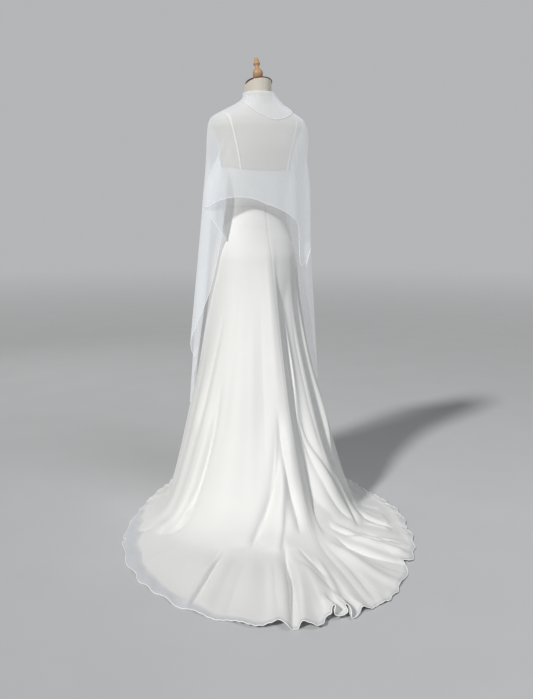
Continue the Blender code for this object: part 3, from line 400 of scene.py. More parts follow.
LEFT_SPREAD = 0.50
RIGHT_SPREAD = 0.28

# Soft creases of the shawl. Columns: station (left of the centre back is positive),
# height of the top and of the foot, how far it drifts in stations, rise, half width in
# stations.
SHAWL_CREASES = (
    (2.2, 1.40, 1.16, 0.5, 0.0016, 0.40),
    (3.4, 1.46, 1.15, 0.7, -0.0022, 0.35),
    (4.4, 1.45, 1.12, 0.4, 0.0030, 0.30),
    (6.6, 1.36, 1.02, 0.2, -0.0030, 0.30),
    (8.4, 1.38, 0.62, 0.4, 0.0034, 0.36),
    (9.6, 1.34, 0.55, 0.3, -0.0040, 0.30),
    (11.6, 1.36, 0.45, 0.3, 0.0040, 0.34),
    (12.6, 1.38, 0.38, 0.2, -0.0044, 0.30),
    (-1.0, 1.38, 1.12, -0.4, -0.0014, 0.40),
    (-2.0, 1.42, 1.06, -0.5, 0.0024, 0.36),
    (-2.9, 1.45, 1.00, -0.3, -0.0030, 0.30),
    (-5.4, 1.36, 0.90, -0.2, 0.0030, 0.30),
    (-6.6, 1.40, 0.60, -0.3, -0.0040, 0.34),
    (-7.6, 1.38, 0.45, -0.2, 0.0044, 0.30),
    (-9.6, 1.36, 0.42, -0.3, -0.0040, 0.34),
    (-11.4, 1.38, 0.40, -0.2, 0.0044, 0.36),
)

# The collar, the shawl's upper edge turned down over it: angle and height of its edge.
COLLAR_EDGE = (
    (-74.0, 1.522),
    (-62.0, 1.499),
    (-40.0, 1.474),
    (-17.0, 1.462),
    (11.0, 1.478),
    (35.0, 1.506),
    (58.0, 1.532),
)

# The collar's top, how far it lies off the shawl, and its rolled edge as a share of the
# shawl's.
COLLAR_TOP_HEIGHT = 1.566
COLLAR_LIFT = 0.0036
COLLAR_ROLL_SHARE = 0.9

# Each strap from the back edge over the shoulder to the cup: share of the way, place in X.
STRAP_LINE = (
    (0.00, 0.112),
    (0.30, 0.128),
    (0.58, 0.140),
    (0.80, 0.124),
    (1.00, 0.098),
)

# The knob, turned from one piece: share of its length, radius.
KNOB_PROFILE = (
    (0.000, 0.0090),
    (0.030, 0.0094),
    (0.080, 0.0110),
    (0.140, 0.0136),
    (0.200, 0.0162),
    (0.270, 0.0188),
    (0.340, 0.0198),
    (0.400, 0.0194),
    (0.460, 0.0168),
    (0.520, 0.0120),
    (0.575, 0.0082),
    (0.630, 0.0078),
    (0.680, 0.0094),
    (0.725, 0.0126),
    (0.765, 0.0126),
    (0.820, 0.0106),
    (0.890, 0.0092),
    (0.950, 0.0066),
    (0.985, 0.0036),
    (1.000, 0.0010),
)

# Edges that turn more than this stay sharp, in degrees.
SHARP_ANGLE = 75.0

# Steps of the two parameters over which a surface's slopes are taken.
SKIRT_STEPS = (0.12, 0.002)
BODICE_STEPS = (0.5, 0.01)
SHAWL_STEPS = (0.03, 0.002)

# Sewing: half width of the hollow at a seam, extra columns beside a seam in degrees, radii
# at which the bodice's seams are measured, radius of the bound edge, the value that marks
# cloth far inside the lining, and the rolled edges' share of the shawl's painted glow.
SEAM_HALF_WIDTH = 0.0022
SKIRT_SEAM_COLUMNS = (0.25, 0.5, 0.8, 1.3)
BODICE_SEAM_COLUMNS = (0.5, 1.0, 1.6)
BODICE_RADIUS = 0.10
BACK_SEAM_RADIUS = 0.085
BINDING_RADIUS = 0.0011
FAR_INSIDE = -0.2
ROLL_GLOW_SHARE = 0.5

# The form's spine seam: how wide the ridge is in degrees, and its stitched line's depth
# and width. The padding ends between the two neck heights.
SPINE_WIDTH = 7.0
SPINE_LINE_DEPTH = 0.0008
SPINE_LINE_WIDTH = 0.9
PADDING_END = (1.56, 1.50)

# The neck's wooden rim: radius at which its underside starts, and of two rings on its top.
CAP_FOOT_RADIUS = 0.02
CAP_TOP_RADII = (0.03, 0.01)

# The stand's round base: radius of its boss, and the rounding of its edge.
BOSS_RADIUS = 0.045
BASE_ROUNDING = 0.002

# Where the photograph was taken from. Its frame is 533 pixels wide and 699 high.
CAMERA_AZIMUTH = 159.0
CAMERA_DISTANCE = 3.200
CAMERA_ASIDE = 0.035
CAMERA_HEIGHT = 1.100
CAMERA_PITCH = 9.165
CAMERA_LENS = 41.87
CAMERA_SENSOR = 36.0

# The plain stage: how far the floor reaches and where it has faded, and the lights: place,
# aim and, for the soft ones, width.
FLOOR_RADIUS = 18.0
FLOOR_SIDES = 96
FLOOR_FADE = (2.0, 16.0)
KEY_PLACE = (2.7, 1.7, 2.36)
FILL_PLACE = (-1.1, 2.3, 3.6)
FILL_AIM = (0.1, 0.6, 0.0)
FRONT_PLACE = (0.8, -3.4, 2.4)
FRONT_AIM = (0.0, 0.0, 0.9)
SOFT_LIGHT_WIDTH = 2.2
FRONT_LIGHT_SHARE = 0.28
SKY_COLOUR = (0.96, 0.98, 1.0, 1.0)


# Curves and soft steps.

def curve_through(table, column, at):
    """Smooth curve through a table's rows, read at `at` and held level past its ends."""
    rows = np.array(table, dtype=float)
    places = rows[:, 0]
    values = rows[:, column]
    slopes = np.gradient(values, places)
    at = np.clip(at, places[0], places[-1])
    low = np.clip(np.searchsorted(places, at) - 1, 0, len(places) - 2)
    span = places[low + 1] - places[low]
    t = (at - places[low]) / span
    start = (2 * t**3 - 3 * t**2 + 1) * values[low] + (t**3 - 2 * t**2 + t) * span * slopes[low]
    finish = (3 * t**2 - 2 * t**3) * values[low + 1] + (t**3 - t**2) * span * slopes[low + 1]
    return start + finish


def wrap(angle):
    """An angle brought between -180 and 180 degrees by whole turns."""
    return (np.asarray(angle) + 180.0) % 360.0 - 180.0


def round_curve(table, column, angle):
    """The same for a table that goes once round, from -180 to 180 degrees."""
    rows = np.array(table, dtype=float)
    before = rows[:-1] - np.eye(1, rows.shape[1]) * 360.0
    after = rows[1:] + np.eye(1, rows.shape[1]) * 360.0
    return curve_through(np.concatenate([before, rows, after]), column, wrap(angle))


def ease_in(start, finish, at):
    """Runs softly from 0 at start to 1 at finish."""
    share = np.clip((at - start) / (finish - start), 0.0, 1.0)
    return share * share * (3.0 - 2.0 * share)


def soft_floor(value, least, softness):
    """Follows value, but bends softly so that it never falls under least."""
    scaled = np.clip((value - least) / softness, -50.0, 50.0)
    return least + softness * np.log1p(np.exp(scaled)) + np.maximum(value - least - 50 * softness, 0)


def on_axis(angle, radius, height):
    """World points of round coordinates."""
    turn = np.radians(angle)
    return np.stack([radius * np.sin(turn), radius * np.cos(turn), height + 0 * radius], axis=-1)


# The body that the gown is cut to.

def ring_radius(angle, half_width, front, back):
    """Radius of a rounded section: a superellipse that reaches half_width at the sides."""
    side = np.abs(np.sin(np.radians(angle)))
    fore = np.cos(np.radians(angle))
    depth = np.where(fore > 0, back, front)
    power = RING_SQUARENESS
    return ((side / half_width) ** power + (np.abs(fore) / depth) ** power) ** (-1.0 / power)


def body_radius(angle, height):
    """The body's rounded section at a height, shifted toward +X by the ring's lean."""
    half_width = curve_through(BODY_RINGS, 1, height)
    front = curve_through(BODY_RINGS, 2, height)
    back = curve_through(BODY_RINGS, 3, height)
    lean = curve_through(BODY_RINGS, 4, height) * np.sin(np.radians(angle))
    return ring_radius(angle, half_width, front, back) + lean


def gown_inner_radius(angle, height):
    """The body with the bodice's two cups, bell-shaped swellings in front."""
    away = (np.abs(wrap(angle)) - CUP_ANGLE) / CUP_SPREAD
    up = (height - CUP_HEIGHT) / CUP_REACH
    return body_radius(angle, height) + CUP_RISE * np.exp(-(away**2) - up**2)


# The skirt. A point on its inner face is worked out from a thread, named by the angle at
# which it meets the floor, and a hanging height, which is the height that the cloth would
# have if it ran on straight through the floor.

def thread_angle(thread, hanging):
    """Angle of a thread at a height: straight near the floor, leaning sideways above."""
    share = np.clip((hanging - THREAD_LEAN_FOOT) / (THREAD_LEAN_TOP - THREAD_LEAN_FOOT), 0.0, 1.0)
    return thread + curve_through(THREAD_LEAN, 1, wrap(thread)) * share * (0.35 + 0.65 * share)


def hem_run(thread):
    """A length along the hem, close enough to the true one to space its ripples."""
    return np.radians(thread) * 0.5 * (round_curve(HEM_LINE, 2, thread) + 0.75)


def hem_radius(thread):
    """Radius of the hem: its plain line, drawn in between uneven scallops and at the
    notches, which are bell-shaped."""
    run = hem_run(thread)
    edge = round_curve(HEM_LINE, 2, thread)
    phase = np.pi * run / SCALLOP_LENGTH + 0.9 * np.sin(run * 8.0) + 0.5 * np.sin(run * 19.0)
    depth = SCALLOP_DEPTH * (0.65 + 0.35 * np.sin(run * 11.0 + 2.0)) * ease_in(0.36, 0.50, edge)
    edge = edge - depth * (1.0 - np.abs(np.sin(phase))) ** 2
    for angle, drawn_in, half_width in HEM_NOTCHES:
        edge = edge - drawn_in * np.exp(-((wrap(thread - angle) / half_width) ** 2))
    return edge


def edge_hanging_height(thread):
    """Hanging height of the hem, below zero where the train lies on the floor."""
    hip = gown_inner_radius(thread, HIP_HEIGHT)
    landing = round_curve(HEM_LINE, 1, thread)
    edge = hem_radius(thread)
    return FLARE_TOP - FLARE_TOP * ((edge - hip) / (landing - hip)) ** (1.0 / FLARE_POWER)


def plain_skirt(thread, hanging):
    """Radius and height of the skirt with no folds: snug to the hip, then the radius grows
    by a power of the drop and the height bends softly onto the floor."""
    angle = thread_angle(thread, hanging)
    hip = gown_inner_radius(angle, HIP_HEIGHT)
    landing = round_curve(HEM_LINE, 1, angle)
    below = np.clip((FLARE_TOP - hanging) / FLARE_TOP, 0.0, None)
    snug = gown_inner_radius(angle, np.clip(hanging, HIP_HEIGHT, WAIST_HEIGHT))
    radius = snug + (landing - hip) * below**FLARE_POWER
    return radius, soft_floor(hanging, 0.0, round_curve(HEM_LINE, 3, thread))


def fold_rise(thread, hanging, radius):
    """Sum of the folds. Each follows a curved centre line down the cloth; a ridge has a
    bell-shaped cross-section and a crease a sharper one, wider on one side."""
    total = np.zeros(np.broadcast(thread, hanging).shape)
    for fold in FOLDS + FINE_FOLDS:
        top, foot, at_top, halfway, at_foot, rise, toward_plus, toward_minus, left_over = fold
        along = (top - hanging) / (top - foot)
        way = np.clip(along, 0.0, 1.0)
        centre = at_top + (4 * halfway - 3 * at_top - at_foot) * way
        centre = centre + 2 * (at_top + at_foot - 2 * halfway) * way**2
        across = np.radians(wrap(thread - centre)) * radius
        width = np.where(across > 0, toward_plus, toward_minus) * (FOLD_NECK + (1 - FOLD_NECK) * way)
        fade = ease_in(0.0, 0.35, along) * (1.0 - (1.0 - left_over) * ease_in(0.75, 1.0, along))
        power = 2.0 if rise > 0 else CREASE_POWER
        total = total + rise * fade * np.exp(-((np.abs(across) / width) ** power))
    return total


def drape_rise(angle, hanging, radius):
    """Sum of the drag lines: a bell that raises the cloth beside each line, less a dip on
    the line, which is sharp toward +X and round toward -X. A crest line is the same turned
    over, and sharp toward -X."""
    total = np.zeros(np.broadcast(angle, hanging).shape)
    for rise, far_share, toward_plus, toward_minus, places in DRAPE_LINES:
        foot = places[0][0]
        top = places[-1][0]
        across = np.radians(wrap(angle - curve_through(places, 1, hanging))) * radius
        width = np.where(across > 0, toward_plus, toward_minus)
        power = np.where((across > 0) == (rise > 0), LINE_POWER, 2.0)
        dip = np.exp(-((np.abs(across) / width) ** power))
        raised = rise * np.where(across > 0, 1.0, far_share)
        along = (hanging - foot) / (top - foot)
        fade = ease_in(-0.02, 0.14, along) * ease_in(1.02, 0.62, along)
        total = total + raised * fade * (np.exp(-((across / LINE_SHOULDER) ** 2)) - dip)
    return total


def hem_wave(thread, hanging):
    """Ripples of the rolled hem, uneven in length, which fade out away from the edge, with
    small tight curls on the very edge: how far up and how far out they move the cloth."""
    from_edge = hanging - edge_hanging_height(thread)
    run = hem_run(thread)
    phase = 2 * np.pi * run / HEM_WAVE_LENGTH + 1.3 * np.sin(run * 9.0) + 0.9 * np.sin(run * 21.0)
    height = HEM_WAVE_HEIGHT * (0.75 + 0.25 * np.sin(run * 13.0 + 1.0))
    near = ease_in(HEM_WAVE_REACH, 0.0, from_edge)
    curl = 2 * np.pi * run / LETTUCE_LENGTH + 2.1 * np.sin(run * 17.0)
    curls = LETTUCE_HEIGHT * ease_in(LETTUCE_REACH, 0.0, from_edge) * (0.55 + 0.45 * np.sin(run * 7.0))
    lift = near * height * 0.5 * (1.0 + np.sin(phase)) + curls * 0.5 * (1.0 + np.sin(curl))
    return lift, near * HEM_WAVE_SWAY * np.cos(phase + 0.6) + curls * 0.5 * np.cos(curl)


def frill_wave(thread, hanging):
    """The ruffled stretch of the hem: how far up, out and sideways it moves the cloth. Each
    flute narrows at its neck and bulges above, by a cosine and a double-speed sine."""
    from_edge = hanging - edge_hanging_height(thread)
    run = hem_run(thread)
    ruffled = np.exp(-(((thread - FRILL_ANGLE) / FRILL_SPREAD) ** 4)) * ease_in(FRILL_REACH, 0.0, from_edge)
    flute = 2 * np.pi * run / FRILL_LENGTH + 1.2 * np.sin(run * 37.0 + 0.8)
    lift = FRILL_HEIGHT * (0.5 + 0.5 * np.sin(flute)) * (0.8 + 0.2 * np.sin(run * 53.0))
    aside = FRILL_NECK * np.cos(flute) - FRILL_BULGE * np.sin(2.0 * flute)
    return ruffled * lift, ruffled * FRILL_SWAY * np.cos(flute + 0.9), ruffled * aside


def skirt_inner(thread, hanging):
    """World points of the skirt's inner face, with its folds and hem ripples."""
    step = 0.002
    radius, height = plain_skirt(thread, hanging)
    radius_below, height_below = plain_skirt(thread, hanging - step)
    outward = height - height_below
    upward = radius_below - radius
    length = np.hypot(outward, upward)
    # The cloth lies a little off the floor between its landing and the edge.
    train = edge_hanging_height(thread)
    lift = TRAIN_LIFT * ease_in(0.10, -0.10, hanging) * ease_in(train + 0.02, train + 0.35, hanging)
    rise = fold_rise(thread, hanging, radius) + lift
    rise = rise + drape_rise(thread_angle(thread, hanging), hanging, radius)
    # A crease is shallow where the cloth is close to the form and where it meets the floor.
    deepest = -DEEPEST_CREASE * ease_in(0.90, 0.62, hanging) * ease_in(0.03, 0.16, hanging)
    rise = soft_floor(rise, deepest, CREASE_SOFTNESS) * ease_in(1.12, 0.98, hanging)
    ripple, sway = hem_wave(thread, hanging)
    flute, flute_sway, aside = frill_wave(thread, hanging)
    radius = radius + rise * outward / length + sway + flute_sway
    over_lining = LINING_ROOM * ease_in(0.0, 0.03, hanging - train)
    height = np.maximum(height + rise * upward / length + ripple + flute, over_lining)
    return on_axis(thread_angle(thread, hanging) + np.degrees(aside / radius), radius, height)


def bodice_edge_height(angle):
    """Top edge: low across the back, rising under the arm to each cup, dipping in front."""
    away = np.abs(wrap(angle))
    back = BACK_EDGE_HEIGHT + (SIDE_EDGE_HEIGHT - BACK_EDGE_HEIGHT) * ease_in(20.0, 95.0, away)
    cup = (CUP_EDGE_HEIGHT - SIDE_EDGE_HEIGHT) * ease_in(98.0, 139.0, away)
    dip = (CUP_EDGE_HEIGHT - FRONT_DIP_HEIGHT) * ease_in(142.0, 180.0, away)
    return back + cup - dip


def bodice_inner(angle, share):
    """World points of the bodice's inner face, share 0 at the waist and 1 at the top edge."""
    low = WAIST_HEIGHT + SEAM_GAP / 2
    height = low + (bodice_edge_height(angle) - low) * share
    return on_axis(angle, gown_inner_radius(angle, height), height)


def normals_of(surface, first, second, first_step, second_step):
    """Unit normals of a surface, from the cross product of its slopes. They point outward
    where the first parameter runs toward +X behind the axis and the second upward."""
    along_first = surface(first + first_step, second) - surface(first - first_step, second)
    along_second = surface(first, second + second_step) - surface(first, second - second_step)
    normal = np.cross(along_second, along_first)
    return normal / np.maximum(np.linalg.norm(normal, axis=-1, keepdims=True), 1e-12)


# The shawl.

def ring_of_shawl(column, height):
    """A column of the shawl's rings, read smoothly at a height."""
    return curve_through(SHAWL_RINGS[::-1], column, height)


def shawl_columns(station):
    """Angle, hanging place and edge height of a signed station, left of the centre back
    where it is positive."""
    left = [(float(index), *row) for index, row in enumerate(SHAWL_LEFT)]
    right = [(float(index), *row) for index, row in enumerate(SHAWL_RIGHT)]
    pick = station >= 0
    away = np.abs(station)
    return [np.where(pick, curve_through(left, k, away), curve_through(right, k, away)) for k in range(1, 5)]


def shawl_inner(station, height):
    """World points of the shawl's inner face: rings round the shoulders at the top, blended
    into hanging folds below, and kept outside the skirt."""
    angle, hang_x, hang_y, _ = shawl_columns(station)
    reach = np.where(angle > 0, ring_of_shawl(1, height), ring_of_shawl(2, height))
    radius = ring_radius(angle, reach, ring_of_shawl(3, height), ring_of_shawl(4, height))
    share = ease_in(SHAWL_FREE_HEIGHT, SHAWL_HANG_HEIGHT, height)
    spread = np.where(angle > 0, LEFT_SPREAD, RIGHT_SPREAD) * ease_in(55.0, 80.0, np.abs(angle))
    hang_x = hang_x * (1.0 + spread * (SHAWL_HANG_HEIGHT - height))
    turn = np.radians(angle)
    x = radius * np.sin(turn) * (1 - share) + hang_x * share
    y = radius * np.cos(turn) * (1 - share) + hang_y * share
    away = np.degrees(np.arctan2(x, y))
    least = plain_skirt(away, np.clip(height, 0.2, WAIST_HEIGHT))[0] + SHAWL_REST
    reach_out = soft_floor(np.hypot(x, y), least * share, 0.002)
    return on_axis(away, reach_out, height)


def shawl_crease_rise(station, height):
    """Bell-shaped soft creases, each fading in from its top and out at its foot."""
    total = np.zeros(np.broadcast(station, height).shape)
    for centre, top, foot, drift, rise, half_width in SHAWL_CREASES:
        along = np.clip((top - height) / (top - foot), 0.0, 1.0)
        across = (station - centre - drift * along) / half_width
        total = total + rise * ease_in(0.0, 0.6, along) * np.exp(-(across**2))
    return total


def collar_inner(angle, share):
    """Inner face of the turned-down collar, a little outside the shawl."""
    edge = curve_through(COLLAR_EDGE, 1, angle)
    height = COLLAR_TOP_HEIGHT + (edge - COLLAR_TOP_HEIGHT) * share
    reach = np.where(angle > 0, ring_of_shawl(1, height), ring_of_shawl(2, height))
    radius = ring_radius(angle, reach, ring_of_shawl(3, height), ring_of_shawl(4, height))
    return on_axis(angle, radius + COLLAR_LIFT, height + COLLAR_LIFT * 0.6)


# Meshes, worked out as whole arrays.

def new_object(name, data):
    """An object for a mesh, a light or a camera, put in the scene at the origin."""
    made = bpy.data.objects.new(name, data)
    bpy.context.scene.collection.objects.link(made)
    return made


def grid_faces(rows, columns, start=0, turned=False):
    """Four-sided faces of a grid of points kept row by row."""
    corner = start + (np.arange(rows - 1)[:, None] * columns + np.arange(columns - 1)[None, :]).ravel()
    faces = np.stack([corner, corner + 1, corner + columns + 1, corner + columns], axis=1)
    return faces[:, ::-1] if turned else faces


def new_piece(name, points, faces, materials, attributes=None, cloth_map=None, second_from=None):
    """A smooth mesh that rides on the body. `attributes` holds one value for each point,
    `cloth_map` a flat place in metres, and faces from `second_from` on take the second
    material."""
    mesh = bpy.data.meshes.new(name)
    mesh.from_pydata(np.asarray(points, dtype=float).reshape(-1, 3), [], faces)
    for material in materials:
        mesh.materials.append(material)
    if second_from is not None:
        index = np.zeros(len(mesh.polygons), dtype=np.int32)
        index[second_from:] = 1
        mesh.polygons.foreach_set("material_index", index)
    for key, values in (attributes or {}).items():
        layer = mesh.attributes.new(key, "FLOAT", "POINT")
        layer.data.foreach_set("value", np.asarray(values, dtype=np.float32).ravel())
    if cloth_map is not None:
        corner = np.zeros(len(mesh.loops), dtype=np.int32)
        mesh.loops.foreach_get("vertex_index", corner)
        layer = mesh.uv_layers.new(name="cloth")
        layer.data.foreach_set("uv", np.asarray(cloth_map, dtype=np.float32).reshape(-1, 2)[corner].ravel())
    mesh.shade_smooth()
    mesh.set_sharp_from_angle(angle=radians(SHARP_ANGLE))
    mesh.update()
    piece = new_object(name, mesh)
    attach(piece, BODY)
    return piece


def flat_places(points):
    """A flat place for each point of a grid, in metres: the run along its row and down its
    column, so that a weave keeps its size on the cloth."""
    across = np.linalg.norm(np.diff(points, axis=1), axis=-1)
    down = np.linalg.norm(np.diff(points, axis=0), axis=-1)
    u = np.concatenate([np.zeros((points.shape[0], 1)), np.cumsum(across, axis=1)], axis=1)
    v = np.concatenate([np.zeros((1, points.shape[1])), np.cumsum(down, axis=0)], axis=0)
    return np.stack([u - u[:, u.shape[1] // 2:u.shape[1] // 2 + 1], v], axis=-1)


def wall_piece(name, outer, inner, materials, attributes=None):
    """A thin closed wall between an outer and an inner grid of points, joined at the rim."""
    rows, columns = outer.shape[:2]
    count = rows * columns
    place = np.arange(count).reshape(rows, columns)
    rim = np.concatenate([place[0, :], place[1:, -1], place[-1, -2::-1], place[-2:0:-1, 0]])
    following = np.roll(rim, -1)
    faces = np.concatenate([
        grid_faces(rows, columns, 0, True),
        np.stack([rim, following, following + count, rim + count], axis=1),
        grid_faces(rows, columns, count, False),
    ])
    both = {key: np.concatenate([values.ravel()] * 2) for key, values in (attributes or {}).items()}
    flat = np.concatenate([flat_places(outer).reshape(-1, 2)] * 2)
    points = np.concatenate([outer.reshape(-1, 3), inner.reshape(-1, 3)])
    first_inner = (rows - 1) * (columns - 1) + len(rim)
    return new_piece(name, points, faces, materials, both, flat, first_inner)


def sheet_piece(name, points, material, attributes=None, turned=False):
    """One layer of sheer cloth through a grid of points."""
    rows, columns = points.shape[:2]
    faces = grid_faces(rows, columns, 0, turned)
    return new_piece(name, points, faces, [material], attributes, flat_places(points))


def ring_piece(name, rings, material, clockwise=False, cloth_map=None):
    """A solid through a stack of rings of points, with a fan round the middle of each end.
    Its faces are turned over where the rings run clockwise, seen from the last one."""
    rings = np.asarray(rings)
    count, around = rings.shape[:2]
    place = np.arange(count * around).reshape(count, around)
    beside = np.roll(place, -1, axis=1)
    sides = np.stack([place[:-1], beside[:-1], beside[1:], place[1:]], axis=-1).reshape(-1, 4)
    first_fan = np.stack([beside[0], place[0], np.full(around, place.size)], axis=1)
    last_fan = np.stack([place[-1], beside[-1], np.full(around, place.size + 1)], axis=1)
    fans = np.concatenate([first_fan, last_fan])
    if clockwise:
        sides = sides[:, [0, 3, 2, 1]]
        fans = fans[:, [1, 0, 2]]
    points = np.concatenate([rings.reshape(-1, 3), [rings[0].mean(axis=0), rings[-1].mean(axis=0)]])
    faces = [*map(tuple, sides), *map(tuple, fans)]
    return new_piece(name, points, faces, [material], cloth_map=cloth_map)


def swept_piece(name, path, out, section, material):
    """A section, given as offsets outward and sideways, carried along a path whose `out`
    directions say which way it faces."""
    nearby = np.gradient(path, axis=0)
    along = nearby / np.linalg.norm(nearby, axis=1, keepdims=True)
    out = out - along * np.sum(out * along, axis=1, keepdims=True)
    out /= np.linalg.norm(out, axis=1, keepdims=True)
    aside = np.cross(along, out)
    rings = (path[:, None, :] + out[:, None, :] * section[None, :, :1]
             + aside[:, None, :] * section[None, :, 1:])
    return ring_piece(name, rings, material)


def round_section(radius, sides):
    """A circle of points for a rolled or bound edge."""
    turn = np.linspace(0.0, 2 * np.pi, sides, endpoint=False)
    return np.stack([radius * np.cos(turn), radius * np.sin(turn)], axis=1)


def turned_piece(name, rings, material, cloth_map=None):
    """A solid whose rings are stacked upward and run from +Y toward +X."""
    return ring_piece(name, rings, material, clockwise=True, cloth_map=cloth_map)


# Shader building.

def add_node(tree, kind, inputs=None, **settings):
    """A node with its settings, its input values and, where a value is a socket, a link."""
    node = tree.nodes.new(kind)
    for key, value in settings.items():
        setattr(node, key, value)
    for key, value in (inputs or {}).items():
        if isinstance(value, bpy.types.NodeSocket):
            tree.links.new(value, node.inputs[key])
        else:
            node.inputs[key].default_value = value
    return node


def new_group(name, inputs, outputs):
    """An empty node group with its sockets: name, kind and default of each input."""
    tree = bpy.data.node_groups.new(name, "ShaderNodeTree")
    for label, kind, default in inputs:
        socket = tree.interface.new_socket(label, in_out="INPUT", socket_type=kind)
        if default is not None:
            socket.default_value = default
    for label, kind in outputs:
        tree.interface.new_socket(label, in_out="OUTPUT", socket_type=kind)
    return tree, tree.nodes.new("NodeGroupInput").outputs, tree.nodes.new("NodeGroupOutput").inputs


def cloth_grain_group():
    """Threads each way, a crinkle between them and a slow change of tone."""
    tree, given, result = new_group(
        "Cloth grain",
        (("Place", "NodeSocketVector", None), ("Threads", "NodeSocketFloat", 400.0),
         ("Crinkle", "NodeSocketFloat", 500.0), ("Crinkle Share", "NodeSocketFloat", 0.5),
         ("Tone Change", "NodeSocketFloat", 0.04)),
        (("Height", "NodeSocketFloat"), ("Tone", "NodeSocketFloat")))
    waves = []
    for direction in ("X", "Y"):
        wave = add_node(tree, "ShaderNodeTexWave", {"Vector": given["Place"], "Scale": given["Threads"],
                                                    "Distortion": 1.2, "Detail": 1.0},
                        wave_type="BANDS", bands_direction=direction)
        waves.append(wave.outputs["Fac"])
    weave = add_node(tree, "ShaderNodeMath", {0: waves[0], 1: waves[1]}, operation="MULTIPLY")
    crinkle = add_node(tree, "ShaderNodeTexNoise", {"Vector": given["Place"], "Scale": given["Crinkle"],
                                                    "Detail": 4.0, "Roughness": 0.6})
    height = add_node(tree, "ShaderNodeMix", {0: given["Crinkle Share"], 2: weave.outputs[0],
                                              3: crinkle.outputs["Fac"]})
    slow = add_node(tree, "ShaderNodeTexNoise", {"Vector": given["Place"], "Scale": 7.0, "Detail": 3.0})
    centred = add_node(tree, "ShaderNodeMath", {0: slow.outputs["Fac"], 1: -0.5}, operation="ADD")
    tone = add_node(tree, "ShaderNodeMath", {0: centred.outputs[0], 1: given["Tone Change"], 2: 1.0},
                    operation="MULTIPLY_ADD")
    tree.links.new(height.outputs[0], result["Height"])
    tree.links.new(tone.outputs[0], result["Tone"])
    return tree


def wood_grain_group():
    """Long streaks along one direction with a finer figure across them."""
    tree, given, result = new_group(
        "Wood grain",
        (("Place", "NodeSocketVector", None), ("Light", "NodeSocketColor", (0.7, 0.45, 0.25, 1.0)),
         ("Dark", "NodeSocketColor", (0.4, 0.2, 0.1, 1.0)), ("Scale", "NodeSocketFloat", 60.0)),
        (("Color", "NodeSocketColor"), ("Height", "NodeSocketFloat")))
    stretched = add_node(tree, "ShaderNodeMapping", {"Vector": given["Place"], "Scale": (1.0, 1.0, 0.12)})
    wave = add_node(tree, "ShaderNodeTexWave", {"Vector": stretched.outputs[0], "Scale": given["Scale"],
                                                "Distortion": 6.0, "Detail": 3.0, "Detail Scale": 2.0},
                    wave_type="BANDS", bands_direction="X")
    fine = add_node(tree, "ShaderNodeTexNoise", {"Vector": stretched.outputs[0], "Scale": 900.0,
                                                 "Detail": 4.0})
    both = add_node(tree, "ShaderNodeMath", {0: fine.outputs["Fac"], 1: 0.45, 2: 0.0},
                    operation="MULTIPLY_ADD")
    mixed = add_node(tree, "ShaderNodeMath", {0: wave.outputs["Fac"], 1: 0.5, 2: both.outputs[0]},
                     operation="MULTIPLY_ADD")
    colour = add_node(tree, "ShaderNodeMix", {0: mixed.outputs[0], 6: given["Light"], 7: given["Dark"]},
                      data_type="RGBA")
    tree.links.new(colour.outputs[2], result["Color"])
    tree.links.new(mixed.outputs[0], result["Height"])
    return tree


def place_group(tree, name, maker, inputs):
    """A node for the shared group of that name, which is made on first use."""
    return add_node(tree, "ShaderNodeGroup", inputs, node_tree=bpy.data.node_groups.get(name) or maker())


def new_material(name, roughness, metallic=0.0, sheen=0.0, coat=0.0):
    """A plain material with its node tree and its shader."""
    material = bpy.data.materials.new(name)
    material.use_nodes = True
    shader = material.node_tree.nodes["Principled BSDF"]
    shader.inputs["Roughness"].default_value = roughness
    shader.inputs["Metallic"].default_value = metallic
    shader.inputs["Sheen Weight"].default_value = sheen
    shader.inputs["Coat Weight"].default_value = coat
    return material, material.node_tree, shader


def toned_colour(tree, colour, tone):
    """A colour made lighter or darker by a tone near 1."""
    return add_node(tree, "ShaderNodeHueSaturation", {"Color": (*colour, 1.0), "Value": tone}).outputs[0]


def add_bump(tree, shader, height, distance, strength=1.0):
    """Raises a surface's bump by a height."""
    bump = add_node(tree, "ShaderNodeBump", {"Height": height, "Distance": distance, "Strength": strength})
    tree.links.new(bump.outputs[0], shader.inputs["Normal"])


def cloth_material(name, colour, roughness, sheen, threads, crinkle, crinkle_share, depth, tone=0.04):
    """Woven cloth on its own flat map: toned colour, threads and crinkle as bump."""
    material, tree, shader = new_material(name, roughness, sheen=sheen)
    place = add_node(tree, "ShaderNodeUVMap", uv_map="cloth").outputs[0]
    grain = place_group(tree, "Cloth grain", cloth_grain_group, {
        "Place": place, "Threads": threads, "Crinkle": crinkle, "Crinkle Share": crinkle_share,
        "Tone Change": tone})
    tree.links.new(toned_colour(tree, colour, grain.outputs["Tone"]), shader.inputs["Base Color"])
    add_bump(tree, shader, grain.outputs["Height"], depth, strength=0.6)
    return material, tree, shader, grain


def plain_cloth(name, colour, **values):
    """Woven cloth with nothing added."""
    return cloth_material(name, colour, **values)[0]


